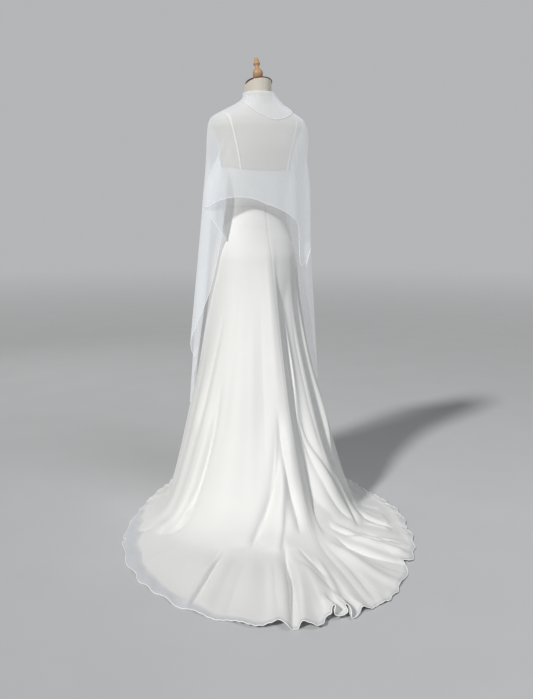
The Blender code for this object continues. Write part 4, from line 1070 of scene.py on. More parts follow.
def crepe_material(name, look):
    """The gown's outer cloth: opaque over its lining and sheer past the lining's edge,
    where `beyond_lining` turns from negative to positive metres."""
    material, tree, shader, _ = cloth_material(
        name, look.crepe_colour, look.crepe_roughness, sheen=0.25, threads=900.0, crinkle=700.0,
        crinkle_share=0.65, depth=0.00012)
    beyond = add_node(tree, "ShaderNodeAttribute", attribute_name="beyond_lining").outputs["Fac"]
    fade = {"Value": beyond, "From Min": SHEER_START, "From Max": look.lining_fade}
    cover = add_node(tree, "ShaderNodeMapRange", {**fade, "To Min": 1.0, "To Max": look.sheer_cover})
    tree.links.new(cover.outputs[0], shader.inputs["Alpha"])
    base = shader.inputs["Base Color"].links[0].from_socket
    cool = add_node(tree, "ShaderNodeMapRange", {**fade, "To Min": 0.0, "To Max": 1.0})
    mixed = add_node(tree, "ShaderNodeMix", {0: cool.outputs[0], 6: base, 7: (*look.sheer_colour, 1.0)},
                     data_type="RGBA")
    tree.links.new(mixed.outputs[2], shader.inputs["Base Color"])
    return material


def rolled_material(name, look):
    """The tightly rolled edges, where several turns of sheer cloth look opaque. A painted glow,
    an emission, lifts them out of shade.
    """
    material, _, shader, _ = cloth_material(
        name, look.roll_colour, roughness=0.55, sheen=0.30, threads=1100.0, crinkle=900.0,
        crinkle_share=0.5, depth=0.00003)
    # Painted glow: the rolled edges and straps give off light of their own colour, which brightens them in
    # shade.
    shader.inputs["Emission Color"].default_value = (*look.roll_colour, 1.0)
    shader.inputs["Emission Strength"].default_value = ROLL_GLOW_SHARE * look.painted_glow
    return material


def chiffon_material(name, look, hides):
    """Sheer cloth: mostly open between fine threads, denser where the threads bunch. It has a
    painted glow, an emission that stands in for the light that comes through it, over a base
    colour kept grey to leave room for that glow."""
    material, tree, shader, grain = cloth_material(
        name, look.chiffon_colour, roughness=0.70, sheen=0.30, threads=1100.0, crinkle=900.0,
        crinkle_share=0.5, depth=0.00006, tone=0.05)
    cover = add_node(tree, "ShaderNodeMath", {0: grain.outputs["Tone"], 1: hides}, operation="MULTIPLY")
    facing = add_node(tree, "ShaderNodeLayerWeight", {"Blend": 0.35}).outputs["Facing"]
    denser = add_node(tree, "ShaderNodeMath", {0: facing, 1: look.chiffon_edge, 2: cover.outputs[0]},
                      operation="MULTIPLY_ADD", use_clamp=True)
    tree.links.new(denser.outputs[0], shader.inputs["Alpha"])
    # Painted glow: the chiffon gives off light of its own, which brightens the shawl where it hangs in
    # shade.
    shader.inputs["Emission Color"].default_value = (*look.roll_colour, 1.0)
    shader.inputs["Emission Strength"].default_value = look.painted_glow
    return material


def wood_material(name, light, darker, roughness, coat, scale):
    """Varnished wood: streaks between a tone and a darker share of it, which also raise a
    bump."""
    material, tree, shader = new_material(name, roughness, coat=coat)
    dark = [value * darker for value in light]
    place = add_node(tree, "ShaderNodeTexCoord").outputs["Object"]
    grain = place_group(tree, "Wood grain", wood_grain_group, {
        "Place": place, "Light": (*light, 1.0), "Dark": (*dark, 1.0), "Scale": scale})
    tree.links.new(grain.outputs["Color"], shader.inputs["Base Color"])
    add_bump(tree, shader, grain.outputs["Height"], distance=0.0002, strength=0.4)
    return material


def metal_material(name, colour):
    """Brushed steel: long fine scratches change its roughness and bump."""
    material, tree, shader = new_material(name, roughness=0.34, metallic=1.0)
    place = add_node(tree, "ShaderNodeTexCoord").outputs["Object"]
    stretched = add_node(tree, "ShaderNodeMapping", {"Vector": place, "Scale": (900.0, 900.0, 12.0)})
    scratch = add_node(tree, "ShaderNodeTexNoise", {"Vector": stretched.outputs[0], "Scale": 1.0,
                                                    "Detail": 3.0})
    rough = add_node(tree, "ShaderNodeMapRange", {"Value": scratch.outputs["Fac"], "To Min": 0.26,
                                                  "To Max": 0.44})
    tree.links.new(rough.outputs[0], shader.inputs["Roughness"])
    tree.links.new(toned_colour(tree, colour, scratch.outputs["Fac"]), shader.inputs["Base Color"])
    add_bump(tree, shader, scratch.outputs["Fac"], distance=0.00005)
    return material


def kept_material(name, maker, *values, **named):
    """A material that is made once and shared by the pieces of its cloth."""
    return bpy.data.materials.get(name) or maker(name, *values, **named)


# Settings that a user would change.

class GownLook(bpy.types.PropertyGroup):
    crepe_colour: FloatVectorProperty(
        name="Crepe", description="Colour of the gown's outer cloth", subtype="COLOR",
        default=(0.865, 0.865, 0.850), min=0.0, max=1.0)
    lining_colour: FloatVectorProperty(
        name="Lining", description="Colour of the opaque lining", subtype="COLOR",
        default=(0.86, 0.86, 0.85), min=0.0, max=1.0)
    sheer_colour: FloatVectorProperty(
        name="Sheer edge", description="Colour of the outer cloth past the lining", subtype="COLOR",
        default=(0.80, 0.83, 0.88), min=0.0, max=1.0)
    sheer_cover: FloatProperty(
        name="Sheer cover", description="How much the outer cloth hides past the lining",
        default=0.54, min=0.0, max=1.0, subtype="FACTOR")
    lining_fade: FloatProperty(
        name="Lining fade", description="How far the outer cloth takes to turn sheer past the lining",
        default=0.030, unit="LENGTH", min=0.001)
    crepe_roughness: FloatProperty(
        name="Roughness", description="How matte the crepe is", default=0.62, min=0.0, max=1.0,
        subtype="FACTOR")
    wall: FloatProperty(
        name="Cloth", description="Thickness of crepe and lining together", default=0.0011, unit="LENGTH",
        min=0.0003, max=0.0015)
    hem_roll: FloatProperty(
        name="Rolled hem", description="Radius of the rolled hem", default=0.0011, unit="LENGTH")
    seam_sink: FloatProperty(
        name="Seam", description="How far a seam sinks into the cloth", default=0.0006, unit="LENGTH")


class ShawlLook(bpy.types.PropertyGroup):
    chiffon_colour: FloatVectorProperty(
        name="Chiffon", description="Colour of the shawl", subtype="COLOR",
        default=(0.56, 0.585, 0.615), min=0.0, max=1.0)
    chiffon_cover: FloatProperty(
        name="Cover", description="How much one layer hides, seen straight on", default=0.50,
        min=0.0, max=1.0, subtype="FACTOR")
    collar_cover: FloatProperty(
        name="Collar cover", description="How much more the collar's layer hides", default=0.14,
        min=0.0, max=1.0, subtype="FACTOR")
    chiffon_edge: FloatProperty(
        name="Edge cover", description="How much more it hides where it turns away", default=0.50,
        min=0.0, max=1.0, subtype="FACTOR")
    # Painted glow: strength of the emission that stands in for light coming through the thin cloth.
    painted_glow: FloatProperty(
        name="Shine-through", description="Light that comes through the thin cloth from behind",
        default=0.33, min=0.0)
    roll_colour: FloatVectorProperty(
        name="Rolled edge", description="Colour of the rolled edges", subtype="COLOR",
        default=(0.90, 0.91, 0.92), min=0.0, max=1.0)
    hem_roll: FloatProperty(
        name="Rolled hem", description="Radius of the rolled hem", default=0.0010, unit="LENGTH")


class FormLook(bpy.types.PropertyGroup):
    cover_colour: FloatVectorProperty(
        name="Cover", description="Colour of the form's cloth", subtype="COLOR",
        default=(0.74, 0.69, 0.60), min=0.0, max=1.0)
    rim_colour: FloatVectorProperty(
        name="Neck rim", description="Colour of the neck's wooden rim", subtype="COLOR",
        default=(0.16, 0.035, 0.018), min=0.0, max=1.0)
    knob_colour: FloatVectorProperty(
        name="Knob", description="Colour of the turned knob", subtype="COLOR",
        default=(0.68, 0.42, 0.22), min=0.0, max=1.0)
    metal_colour: FloatVectorProperty(
        name="Stand", description="Colour of the stand", subtype="COLOR",
        default=(0.62, 0.62, 0.62), min=0.0, max=1.0)
    spine_rise: FloatProperty(
        name="Spine seam", description="How far the centre back seam stands out", default=0.0022,
        unit="LENGTH")


class StageLook(bpy.types.PropertyGroup):
    floor_colour: FloatVectorProperty(
        name="Floor", description="Colour of the plain floor", subtype="COLOR",
        default=(0.62, 0.625, 0.635), min=0.0, max=1.0)
    backdrop_colour: FloatVectorProperty(
        name="Backdrop", description="Colour behind the floor", subtype="COLOR",
        default=(0.46, 0.465, 0.472), min=0.0, max=1.0)
    surrounding_light: FloatProperty(
        name="Surrounding light", description="Strength of the light from all round", default=0.14, min=0.0)
    key_strength: FloatProperty(
        name="Key light", description="Strength of the main light, from the left behind the camera",
        default=2.20, min=0.0)
    key_angle: FloatProperty(
        name="Key size", description="Angle that the main light fills, which softens its shadows",
        default=radians(6.0), unit="ROTATION")
    fill_power: FloatProperty(
        name="Fill light", description="Power of the soft light from above", default=36.0, unit="POWER")


def looks():
    """The settings as they stand in the scene."""
    return bpy.context.scene.gown_looks


class GownLooks(bpy.types.PropertyGroup):
    gown: PointerProperty(type=GownLook)
    shawl: PointerProperty(type=ShawlLook)
    form: PointerProperty(type=FormLook)
    stage: PointerProperty(type=StageLook)


def gown_materials():
    """The crepe and the lining under it, in the order that a wall takes them."""
    look = looks().gown
    crepe = kept_material("Ivory crepe", crepe_material, look)
    lining = kept_material("Lining satin", plain_cloth, look.lining_colour, roughness=0.50, sheen=0.10,
                           threads=1200.0, crinkle=900.0, crinkle_share=0.4, depth=0.00005)
    return [crepe, lining]


def rolled_edge():
    """The one material of all rolled edges and straps."""
    return kept_material("Rolled edge", rolled_material, looks().shawl)


# The gown's pieces.

def with_seam_columns(angles, first, last, near, seams):
    """Column angles with a few more close to each side that has a seam, for its fine sink."""
    near = np.array(near)
    extra = [near + first] * seams[0] + [last - near] * seams[1]
    return np.unique(np.concatenate([angles, *extra]))


def set_apart(angle, first, last, radius):
    """Angles whose two side columns stand back by half of the gap between panels."""
    pull = np.degrees(SEAM_GAP / 2 / radius)
    return angle + np.where(angle == first, pull, 0.0) - np.where(angle == last, pull, 0.0)


def seam_hollow(angle, first, last, radius, seams):
    """How far the cloth sinks at the seams: a narrow bell across each."""
    sink = np.zeros(angle.shape)
    for side, edge in zip(seams, (first, last)):
        across = np.radians(np.abs(angle - edge)) * radius
        sink += side * looks().gown.seam_sink * np.exp(-((across / SEAM_HALF_WIDTH) ** 2))
    return sink


def panel_piece(name, inner, normal, sink, beyond):
    """A panel of crepe over its lining, kept off the floor. Its outer face lies a wall's
    thickness outside the inner surface, less the sink at its seams."""
    outer = inner + normal * (GOWN_WALL - sink[..., None])
    under = outer - normal * looks().gown.wall
    under[..., 2] = np.maximum(under[..., 2], FLOOR_ROOM)
    piece = wall_piece(f"{name}_cloth", outer, under, gown_materials(), {"beyond_lining": beyond})
    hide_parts(name)
    return piece


def hem_angles(first, last, count, seams):
    """Column angles, spaced along the line halfway out to the hem and closer near the drag
    lines and the seams."""
    fine = np.linspace(first, last, 1600)
    weight = 0.10 + round_curve(HEM_LINE, 2, fine)
    for line in DRAPE_LINES:
        for _, angle in line[4][:3]:
            weight = weight * (1.0 + 0.22 * np.exp(-((wrap(fine - angle) / 1.6) ** 2)))
    run = np.concatenate([[0.0], np.cumsum(0.5 * (weight[1:] + weight[:-1]))])
    angles = np.interp(np.linspace(0.0, run[-1], count), run, fine)
    return with_seam_columns(angles, first, last, SKIRT_SEAM_COLUMNS, seams)


def skirt_rows(angle, hang_rows, floor_rows):
    """Hanging heights of a column: fixed down to near the floor, then even to the hem with
    closer rows at the edge."""
    landing = 0.12
    upper = np.linspace(WAIST_HEIGHT - SEAM_GAP / 2, landing, hang_rows)
    share = np.linspace(0.0, 1.0, floor_rows + 1)[1:]
    share = 1.0 - (1.0 - share) ** 1.25
    edge = edge_hanging_height(angle)
    low = landing + (edge[None, :] - landing) * share[:, None]
    return np.concatenate([np.broadcast_to(upper[:, None], (hang_rows, len(angle))), low])


def make_skirt_panel(name, first, last, columns, hang_rows, floor_rows, seams):
    """One panel of the skirt, from its first thread to its last. Its seams fade on the train."""
    angles = hem_angles(first, last, columns, seams)
    hanging = skirt_rows(angles, hang_rows, floor_rows)
    thread = np.broadcast_to(angles, hanging.shape)
    thread = set_apart(thread, first, last, np.maximum(plain_skirt(thread, hanging)[0], 0.05))
    inner = skirt_inner(thread, hanging)
    normal = normals_of(skirt_inner, thread, hanging, *SKIRT_STEPS)
    sink = seam_hollow(thread, first, last, plain_skirt(thread, hanging)[0], seams)
    sink *= ease_in(0.0, 0.25, hanging + 0.2)
    edge = edge_hanging_height(thread)
    from_edge = hem_radius(thread) - plain_skirt(thread, np.maximum(hanging, edge))[0]
    band = round_curve(HEM_LINE, 4, thread) * (1.0 + 0.10 * np.sin(np.radians(thread) * 37.0))
    beyond = np.where(hanging < SHEER_BELOW, band - from_edge, FAR_INSIDE)
    return panel_piece(name, inner, normal, sink, beyond)


def hem_roll_path(first, last, count):
    """Middle line of the rolled hem, half a wall outside the skirt's inner face."""
    thread = np.linspace(first, last, count)
    hanging = edge_hanging_height(thread)
    inner = skirt_inner(thread, hanging)
    normal = normals_of(skirt_inner, thread, hanging, *SKIRT_STEPS)
    return inner + normal * 0.5 * GOWN_WALL, normal


class GOWN_OT_skirt(bpy.types.Operator):
    """Drape the three skirt panels with their train and rolled hem"""

    bl_idname = "gown.skirt"
    bl_label = "Skirt and Train"

    def execute(self, context):
        side = SIDE_SEAM_ANGLE
        seam = CENTRE_SEAM_THREAD
        back = {"columns": 288, "hang_rows": 92, "floor_rows": 74}
        front = make_skirt_panel("skirt_front", side, 360.0 - side, columns=190, hang_rows=90, floor_rows=22,
                                 seams=(0, 0))
        left = make_skirt_panel("skirt_back_left", seam, side, seams=(1, 0), **back)
        right = make_skirt_panel("skirt_back_right", -side, seam, seams=(0, 1), **back)
        section = round_section(looks().gown.hem_roll, sides=8)
        for name, first, last, count in (("hem_front", side, 360.0 - side, 700),
                                         ("hem_back_left", seam, side, 1100),
                                         ("hem_back_right", -side, seam, 1000)):
            path, normal = hem_roll_path(first, last, count)
            path[:, 2] = np.maximum(path[:, 2], looks().gown.hem_roll)
            swept_piece(name, path, normal, section, rolled_edge())
        return {"FINISHED"}


def make_bodice_panel(name, first, last, columns, rows, seams):
    """One panel of the bodice, from its first angle to its last."""
    even = np.linspace(first, last, columns)
    angles = with_seam_columns(even, first, last, BODICE_SEAM_COLUMNS, seams)
    angle, share = np.meshgrid(angles, np.linspace(1.0, 0.0, rows))
    angle = set_apart(angle, first, last, BODICE_RADIUS)
    inner = bodice_inner(angle, share)
    normal = normals_of(bodice_inner, angle, share, *BODICE_STEPS)
    sink = seam_hollow(angle, first, last, BACK_SEAM_RADIUS, seams)
    return panel_piece(name, inner, normal, sink, np.full(share.shape, FAR_INSIDE))


class GOWN_OT_bodice(bpy.types.Operator):
    """Cut the bodice's front and two backs, with a bound top edge"""

    bl_idname = "gown.bodice"
    bl_label = "Bodice"

    def execute(self, context):
        side = SIDE_SEAM_ANGLE
        waist_seam = float(thread_angle(CENTRE_SEAM_THREAD, WAIST_HEIGHT))
        back = {"columns": 80, "rows": 44}
        panels = [make_bodice_panel("bodice_front", side, 360.0 - side, columns=150, rows=60, seams=(0, 0)),
                  make_bodice_panel("bodice_back_left", waist_seam, side, seams=(1, 0), **back),
                  make_bodice_panel("bodice_back_right", -side, waist_seam, seams=(0, 1), **back)]
        crepe = gown_materials()[0]
        section = round_section(BINDING_RADIUS, sides=8)
        for panel, first, last in zip(panels, (side, waist_seam, -side), (360.0 - side, side, waist_seam)):
            angle = np.linspace(first, last, 160)
            top = bodice_inner(angle, np.ones_like(angle))
            normal = normals_of(bodice_inner, angle, np.ones_like(angle), *BODICE_STEPS)
            binding = swept_piece(panel.name.replace("cloth", "binding"), top + normal * 0.5 * GOWN_WALL,
                                  normal, section, crepe)
        return {"FINISHED"}


def strap_foot(angle):
    """Where a strap meets the middle of the bodice's top edge."""
    edge = float(bodice_edge_height(angle))
    return on_axis(angle, gown_inner_radius(angle, edge) + 0.3 * GOWN_WALL, edge - 0.001)


def strap_path(stations):
    """Middle line of the left strap: a quarter sine up from the back edge to the shoulder
    and another down to the cup, held to the body's section at each height."""
    way = np.linspace(0.0, 1.0, stations)
    across = curve_through(STRAP_LINE, 1, way)
    shoulder = np.array(BODY_RINGS[SHOULDER_ROWS])
    crest = np.interp(-across, -shoulder[:, 1], shoulder[:, 0]) + STRAP_CREST_ROOM
    back_foot = strap_foot(STRAP_BACK_ANGLE)
    front_foot = strap_foot(STRAP_FRONT_ANGLE)
    rising = np.sin(np.clip(way / STRAP_CREST_SHARE, 0, 1) * np.pi / 2)
    falling = np.sin(np.clip((1 - way) / (1 - STRAP_CREST_SHARE), 0, 1) * np.pi / 2)
    height = np.where(way < STRAP_CREST_SHARE, back_foot[2] + (crest - back_foot[2]) * rising,
                      front_foot[2] + (crest - front_foot[2]) * falling)
    half_width = curve_through(BODY_RINGS, 1, height)
    room = np.clip(1 - (across / half_width) ** RING_SQUARENESS, 0.0, 1.0) ** (1 / RING_SQUARENESS)
    behind = curve_through(BODY_RINGS, 3, height) * room
    before = -curve_through(BODY_RINGS, 2, height) * room
    path = np.stack([across, np.where(way < STRAP_CREST_SHARE, behind, before), height], axis=-1)
    reach = 2 * (stations // 22) + 1
    kernel = np.ones(reach) / reach
    path[:, 1] = np.convolve(np.pad(path[:, 1], reach // 2, mode="edge"), kernel, mode="valid")
    path += ease_in(0.35, 0.0, way)[:, None] * (back_foot - path[0])
    path += ease_in(0.65, 1.0, way)[:, None] * (front_foot - path[-1])
    return path


class GOWN_OT_straps(bpy.types.Operator):
    """Sew the two thin straps over the shoulders"""

    bl_idname = "gown.straps"
    bl_label = "Straps"

    def execute(self, context):
        turn = np.linspace(0.0, 2 * np.pi, 16, endpoint=False)
        flat_round = np.stack([np.cos(turn), np.sign(np.sin(turn)) * np.abs(np.sin(turn)) ** 0.6], axis=1)
        section = flat_round * np.array([STRAP_THICKNESS, STRAP_WIDTH]) / 2
        for name, side in (("strap_left", 1.0), ("strap_right", -1.0)):
            path = strap_path(120) * np.array([side, 1.0, 1.0])
            out = (path - np.array([0.0, 0.0, STRAP_HUB_HEIGHT])) * np.array([0.6, 1.0, 1.0])
            away = STRAP_ROOM * np.sin(np.linspace(0.0, np.pi, len(path))) ** 0.5 + STRAP_THICKNESS / 2
            unit = out / np.linalg.norm(out, axis=1, keepdims=True)
            strap = swept_piece(f"{name}_cloth", path + unit * away[:, None], out, section, rolled_edge())
            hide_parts(name)
        return {"FINISHED"}


class GOWN_OT_lining(bpy.types.Operator):
    """Lay the opaque lining's edge under the sheer hem of the train"""

    bl_idname = "gown.lining"
    bl_label = "Lining Edge"

    def execute(self, context):
        angle, share = np.meshgrid(np.linspace(*LINING_SPAN, 260), np.linspace(0.0, 1.0, 7))
        edge = round_curve(HEM_LINE, 2, angle) - LINING_SETBACK
        radius = edge - LINING_WIDTH * (1.0 - share)
        ripple = 0.00015 * (1 + np.sin(np.radians(angle) * 61.0)) * share
        top = on_axis(angle, radius, 0.0009 + ripple)
        low = on_axis(angle, radius, FLOOR_ROOM + 0 * ripple)
        materials = gown_materials()
        piece = wall_piece("lining_edge", top, low, [materials[1], materials[1]])
        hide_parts("lining_hem")
        return {"FINISHED"}


# The shawl's pieces.

def shawl_grid(stations, rows):
    """Stations across and heights down to each column's own edge."""
    edge = shawl_columns(stations)[3]
    share = np.linspace(0.0, 1.0, rows)
    height = SHAWL_TOP_HEIGHT + (edge[None, :] - SHAWL_TOP_HEIGHT) * share[:, None]
    return np.broadcast_to(stations, height.shape), height


def draped_shawl(station, height):
    """The shawl's middle surface with its creases, and its outward normals."""
    points = shawl_inner(station, height)
    normal = normals_of(shawl_inner, station, height, *SHAWL_STEPS)
    return points + normal * (SHAWL_HALF_WALL + shawl_crease_rise(station, height))[..., None], normal


class GOWN_OT_shawl(bpy.types.Operator):
    """Drape the sheer shawl over the shoulders, with its rolled edges"""

    bl_idname = "gown.shawl"
    bl_label = "Shawl"

    def execute(self, context):
        look = looks().shawl
        chiffon = kept_material("White chiffon", chiffon_material, look, look.chiffon_cover)
        left_end = len(SHAWL_LEFT) - 1.0
        right_end = len(SHAWL_RIGHT) - 1.0
        stations = np.concatenate([np.linspace(-right_end, 0.0, 200)[:-1], np.linspace(0.0, left_end, 210)])
        station, height = shawl_grid(stations, 180)
        points, normal = draped_shawl(station, height)
        shawl = sheet_piece("shawl", points, chiffon, turned=True)
        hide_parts("shawl_back", "shawl_left", "shawl_right")
        section = round_section(look.hem_roll, sides=6)
        fine = np.concatenate([np.linspace(-right_end, 0.0, 700)[:-1], np.linspace(0.0, left_end, 750)])
        path, out = draped_shawl(fine, shawl_columns(fine)[3])
        hems = [swept_piece("shawl_hem", path, out, section, rolled_edge())]
        for name, column in (("shawl_front_left", -1), ("shawl_front_right", 0)):
            hems.append(swept_piece(name, points[:, column], normal[:, column], section, rolled_edge()))
        return {"FINISHED"}


class GOWN_OT_collar(bpy.types.Operator):
    """Turn the shawl's upper edge down as a soft collar"""

    bl_idname = "gown.collar"
    bl_label = "Collar"

    def execute(self, context):
        look = looks().shawl
        chiffon = kept_material("Collar chiffon", chiffon_material, look, look.collar_cover)
        angle, share = np.meshgrid(np.linspace(COLLAR_EDGE[0][0], COLLAR_EDGE[-1][0], 150),
                                   np.linspace(0.0, 1.0, 60))
        points = collar_inner(angle, share)
        collar = sheet_piece("collar", points, chiffon)
        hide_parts("shawl_collar")
        fine = np.linspace(COLLAR_EDGE[0][0], COLLAR_EDGE[-1][0], 420)
        ones = np.ones_like(fine)
        out = normals_of(collar_inner, fine, ones, *BODICE_STEPS)
        section = round_section(look.hem_roll * COLLAR_ROLL_SHARE, sides=6)
        hem = swept_piece("collar_hem", collar_inner(fine, ones), out, section, rolled_edge())
        return {"FINISHED"}


# The dress form and its stand.

def neck_tilt(points, height):
    """Slants the neck's top down to the front, gradually from the neck's middle."""
    share = ease_in(NECK_BEND_HEIGHT, NECK_TOP_HEIGHT, height)
    points[..., 2] += share * tan(radians(NECK_TOP_TILT)) * (points[..., 1] - NECK_CENTRE_BACK)
    return points


def on_tilted_neck(profile, around):
    """Turned rings about the slanted axis that stands on the neck's top."""
    tilt = radians(NECK_TOP_TILT)
    axis = np.array([0.0, -sin(tilt), cos(tilt)])
    forward = np.array([0.0, cos(tilt), sin(tilt)])
    sideways = np.array([1.0, 0.0, 0.0])
    foot = np.array([0.0, NECK_CENTRE_BACK, NECK_TOP_HEIGHT])
    turn = np.linspace(0, 2 * np.pi, around, endpoint=False)
    circle = np.sin(turn)[:, None] * sideways + np.cos(turn)[:, None] * forward
    return [foot + axis * along + circle * radius for along, radius in profile]


class GOWN_OT_form(bpy.types.Operator):
    """Build the padded torso, its wooden neck rim and the turned knob"""

    bl_idname = "gown.form"
    bl_label = "Dress Form"

    def execute(self, context):
        look = looks().form
        cover = kept_material("Form cover", plain_cloth, look.cover_colour, roughness=0.85, sheen=0.15,
                              threads=500.0, crinkle=300.0, crinkle_share=0.3, depth=0.0003, tone=0.08)
        angle, height = np.meshgrid(np.linspace(-180, 180, 181),
                                    np.linspace(TORSO_FOOT_HEIGHT, NECK_TOP_HEIGHT, 170))
        padded = ease_in(*PADDING_END, height)
        ease = BODY_EASE * padded
        spine = look.spine_rise * np.exp(-np.abs(angle) / SPINE_WIDTH) * padded
        seam = SPINE_LINE_DEPTH * np.exp(-((angle / SPINE_LINE_WIDTH) ** 2))
        radius = body_radius(angle, height) - ease + spine - seam
        points = neck_tilt(on_axis(angle, radius, height), height)
        flat = flat_places(points)[:, :-1].reshape(-1, 2)
        flat = np.concatenate([flat, flat[:1], flat[-1:]])
        torso = turned_piece("torso", points[:, :-1], cover, cloth_map=flat)
        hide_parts("form_torso")

        rim = kept_material("Dark wood", wood_material, look.rim_colour, darker=0.5, roughness=0.28,
                            coat=0.5, scale=90.0)
        low = SEAM_GAP
        high = low + CAP_THICKNESS
        bead = np.linspace(-0.5 * np.pi, 0.5 * np.pi, 14)
        profile = [(low, CAP_FOOT_RADIUS)]
        profile += [((low + high) / 2 + np.sin(t) * CAP_THICKNESS / 2,
                     CAP_RADIUS - CAP_THICKNESS / 2 + np.cos(t) * CAP_THICKNESS / 2) for t in bead]
        profile += [(high, radius) for radius in CAP_TOP_RADII]
        neck_rim = turned_piece("neck_rim", on_tilted_neck(profile, around=96), rim)
        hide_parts("neck_cap")

        pale = kept_material("Pale wood", wood_material, look.knob_colour, darker=0.62, roughness=0.42,
                             coat=0.15, scale=140.0)
        foot = CAP_THICKNESS + 2 * SEAM_GAP
        share = np.linspace(0.0, 1.0, 90)
        radii = curve_through(KNOB_PROFILE, 1, share)
        profile = [(foot + s * FINIAL_LENGTH, r) for s, r in zip(share, radii)]
        knob = turned_piece("knob", on_tilted_neck(profile, around=48), pale)
        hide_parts("finial")
        return {"FINISHED"}


def turned_upright(profile, around):
    """Rings of a profile turned about the upright axis."""
    turn = np.linspace(-180, 180, around, endpoint=False)
    return [on_axis(turn, np.full(around, radius), height) for height, radius in profile]


class GOWN_OT_stand(bpy.types.Operator):
    """Turn the plain pole and the round base under the skirt"""

    bl_idname = "gown.stand"
    bl_label = "Stand"

    def execute(self, context):
        metal = kept_material("Brushed steel", metal_material, looks().form.metal_colour)
        low = BASE_THICKNESS + SEAM_GAP
        high = TORSO_FOOT_HEIGHT - SEAM_GAP
        profile = [(height, POLE_RADIUS) for height in (low, low + 0.001, high - 0.001, high)]
        pole = turned_piece("stand_pole", turned_upright(profile, around=64), metal)
        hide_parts("pole")
        share = np.linspace(0.0, 1.0, 16)
        dome = BASE_THICKNESS * (0.55 + 0.45 * share)
        inset = BASE_RADIUS - BASE_ROUNDING
        radii = BOSS_RADIUS + (inset - BOSS_RADIUS) * np.sqrt(np.clip(1 - share**2, 0, 1))
        profile = [(0.0, inset), (0.0015, BASE_RADIUS), (BASE_THICKNESS * 0.5, BASE_RADIUS)]
        profile += [(h, r) for h, r in zip(dome, radii)]
        base = turned_piece("stand_foot", turned_upright(profile, around=128), metal)
        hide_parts("stand_base")
        return {"FINISHED"}


# The stage.

def add_soft_light(name, place, aim, power, colour=(1.0, 1.0, 1.0)):
    """A round soft light at a place, turned to its aim."""
    light = bpy.data.lights.new(name, "AREA")
    light.shape = "DISK"
    light.size = SOFT_LIGHT_WIDTH
    light.energy = power
    light.color = colour
    lamp = new_object(name, light)
    lamp.location = place
    lamp.rotation_euler = (Vector(aim) - Vector(place)).to_track_quat("-Z", "Y").to_euler()


def floor_material(look):
    """A plain floor that fades into the backdrop's colour far from the gown."""
    material, tree, shader = new_material("Floor", roughness=0.85)
    place = add_node(tree, "ShaderNodeTexCoord").outputs["Object"]
    away = add_node(tree, "ShaderNodeVectorMath", {0: place}, operation="LENGTH").outputs["Value"]
    near, far = FLOOR_FADE
    fade = add_node(tree, "ShaderNodeMapRange",
                    {"Value": away, "From Min": near, "From Max": far, "To Min": 1.0, "To Max": 0.0},
                    interpolation_type="SMOOTHSTEP")
    tree.links.new(fade.outputs[0], shader.inputs["Alpha"])
    grain = add_node(tree, "ShaderNodeTexNoise", {"Vector": place, "Scale": 3.0, "Detail": 5.0})
    tone = add_node(tree, "ShaderNodeMapRange", {"Value": grain.outputs["Fac"], "To Min": 0.96,
                                                 "To Max": 1.04})
    tree.links.new(toned_colour(tree, look.floor_colour, tone.outputs[0]), shader.inputs["Base Color"])
    return material


def surroundings(look):
    """Even light from all round, which the camera sees as a plain backdrop."""
    world = bpy.data.worlds.new("Surroundings")
    world.use_nodes = True
    tree = world.node_tree
    seen = add_node(tree, "ShaderNodeBackground", {"Color": (*look.backdrop_colour, 1.0), "Strength": 1.0})
    unseen = tree.nodes["Background"]
    unseen.inputs["Color"].default_value = SKY_COLOUR
    unseen.inputs["Strength"].default_value = look.surrounding_light
    camera_ray = add_node(tree, "ShaderNodeLightPath").outputs["Is Camera Ray"]
    mixed = add_node(tree, "ShaderNodeMixShader", {0: camera_ray, 1: unseen.outputs[0], 2: seen.outputs[0]})
    tree.links.new(mixed.outputs[0], tree.nodes["World Output"].inputs["Surface"])
    return world


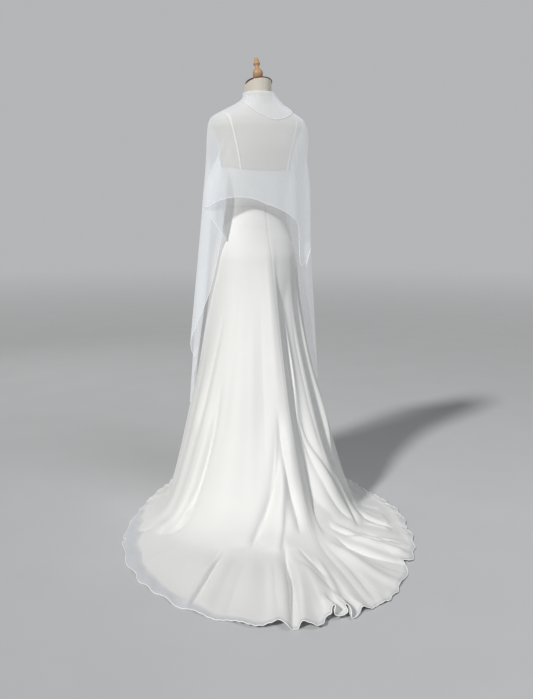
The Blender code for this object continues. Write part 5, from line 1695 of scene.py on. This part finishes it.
class GOWN_OT_stage(bpy.types.Operator):
    """Lay the plain floor, and place the camera and the soft lights"""

    bl_idname = "gown.stage"
    bl_label = "Stage"

    def execute(self, context):
        look = looks().stage
        turn = np.linspace(0.0, 2 * np.pi, FLOOR_SIDES, endpoint=False)
        rim = np.stack([np.sin(turn), np.cos(turn), 0 * turn], axis=1)
        mesh = bpy.data.meshes.new("floor")
        mesh.from_pydata(rim * FLOOR_RADIUS, [], [list(reversed(range(FLOOR_SIDES)))])
        mesh.materials.append(floor_material(look))
        new_object("floor", mesh)
        bpy.context.scene.world = surroundings(look)
        bpy.context.scene.view_settings.view_transform = "Standard"

        light = bpy.data.lights.new("key", "SUN")
        light.energy = look.key_strength
        light.angle = look.key_angle
        light.color = (1.0, 0.99, 0.97)
        lamp = new_object("key", light)
        lamp.rotation_euler = (-Vector(KEY_PLACE)).to_track_quat("-Z", "Y").to_euler()
        add_soft_light("fill", FILL_PLACE, FILL_AIM, look.fill_power, (0.94, 0.97, 1.0))
        add_soft_light("front", FRONT_PLACE, FRONT_AIM, look.fill_power * FRONT_LIGHT_SHARE)

        camera = bpy.data.cameras.new("camera")
        camera.lens = CAMERA_LENS
        camera.sensor_width = CAMERA_SENSOR
        eye = new_object("camera", camera)
        turned = radians(CAMERA_AZIMUTH)
        back = Vector((sin(turned), -cos(turned), 0.0))
        aside = Vector((-cos(turned), -sin(turned), 0.0))
        eye.location = back * CAMERA_DISTANCE - aside * CAMERA_ASIDE + Vector((0.0, 0.0, CAMERA_HEIGHT))
        pitch = radians(CAMERA_PITCH)
        view = -back * cos(pitch) - Vector((0.0, 0.0, sin(pitch)))
        eye.rotation_euler = view.to_track_quat("-Z", "Y").to_euler()
        bpy.context.scene.camera = eye
        return {"FINISHED"}


OPERATORS = (GOWN_OT_form, GOWN_OT_stand, GOWN_OT_skirt, GOWN_OT_lining, GOWN_OT_bodice, GOWN_OT_straps,
             GOWN_OT_shawl, GOWN_OT_collar, GOWN_OT_stage)


class GOWN_PT_panel(bpy.types.Panel):
    """Lists the gown's pieces and their settings"""

    bl_label = "Gown"
    bl_idname = "GOWN_PT_panel"
    bl_space_type = "VIEW_3D"
    bl_region_type = "UI"
    bl_category = "Gown"

    def draw(self, context):
        column = self.layout.column()
        for operator in OPERATORS:
            column.operator(operator.bl_idname)
        for group in (looks().gown, looks().shawl, looks().form, looks().stage):
            for key in group.bl_rna.properties.keys():
                if key not in ("name", "rna_type"):
                    column.prop(group, key)


CLASSES = (GownLook, ShawlLook, FormLook, StageLook, GownLooks, *OPERATORS, GOWN_PT_panel)


def register():
    """Makes the settings, the operators and the panel known to the program."""
    for each in CLASSES:
        bpy.utils.register_class(each)
    bpy.types.Scene.gown_looks = PointerProperty(type=GownLooks)


def unregister():
    """Takes them away again, in the other order."""
    del bpy.types.Scene.gown_looks
    for each in reversed(CLASSES):
        bpy.utils.unregister_class(each)


def main():
    """Builds every piece and the stage."""
    register()
    for operator in OPERATORS:
        group, name = operator.bl_idname.split(".")
        getattr(getattr(bpy.ops, group), name)()


if __name__ == "__main__":
    main()
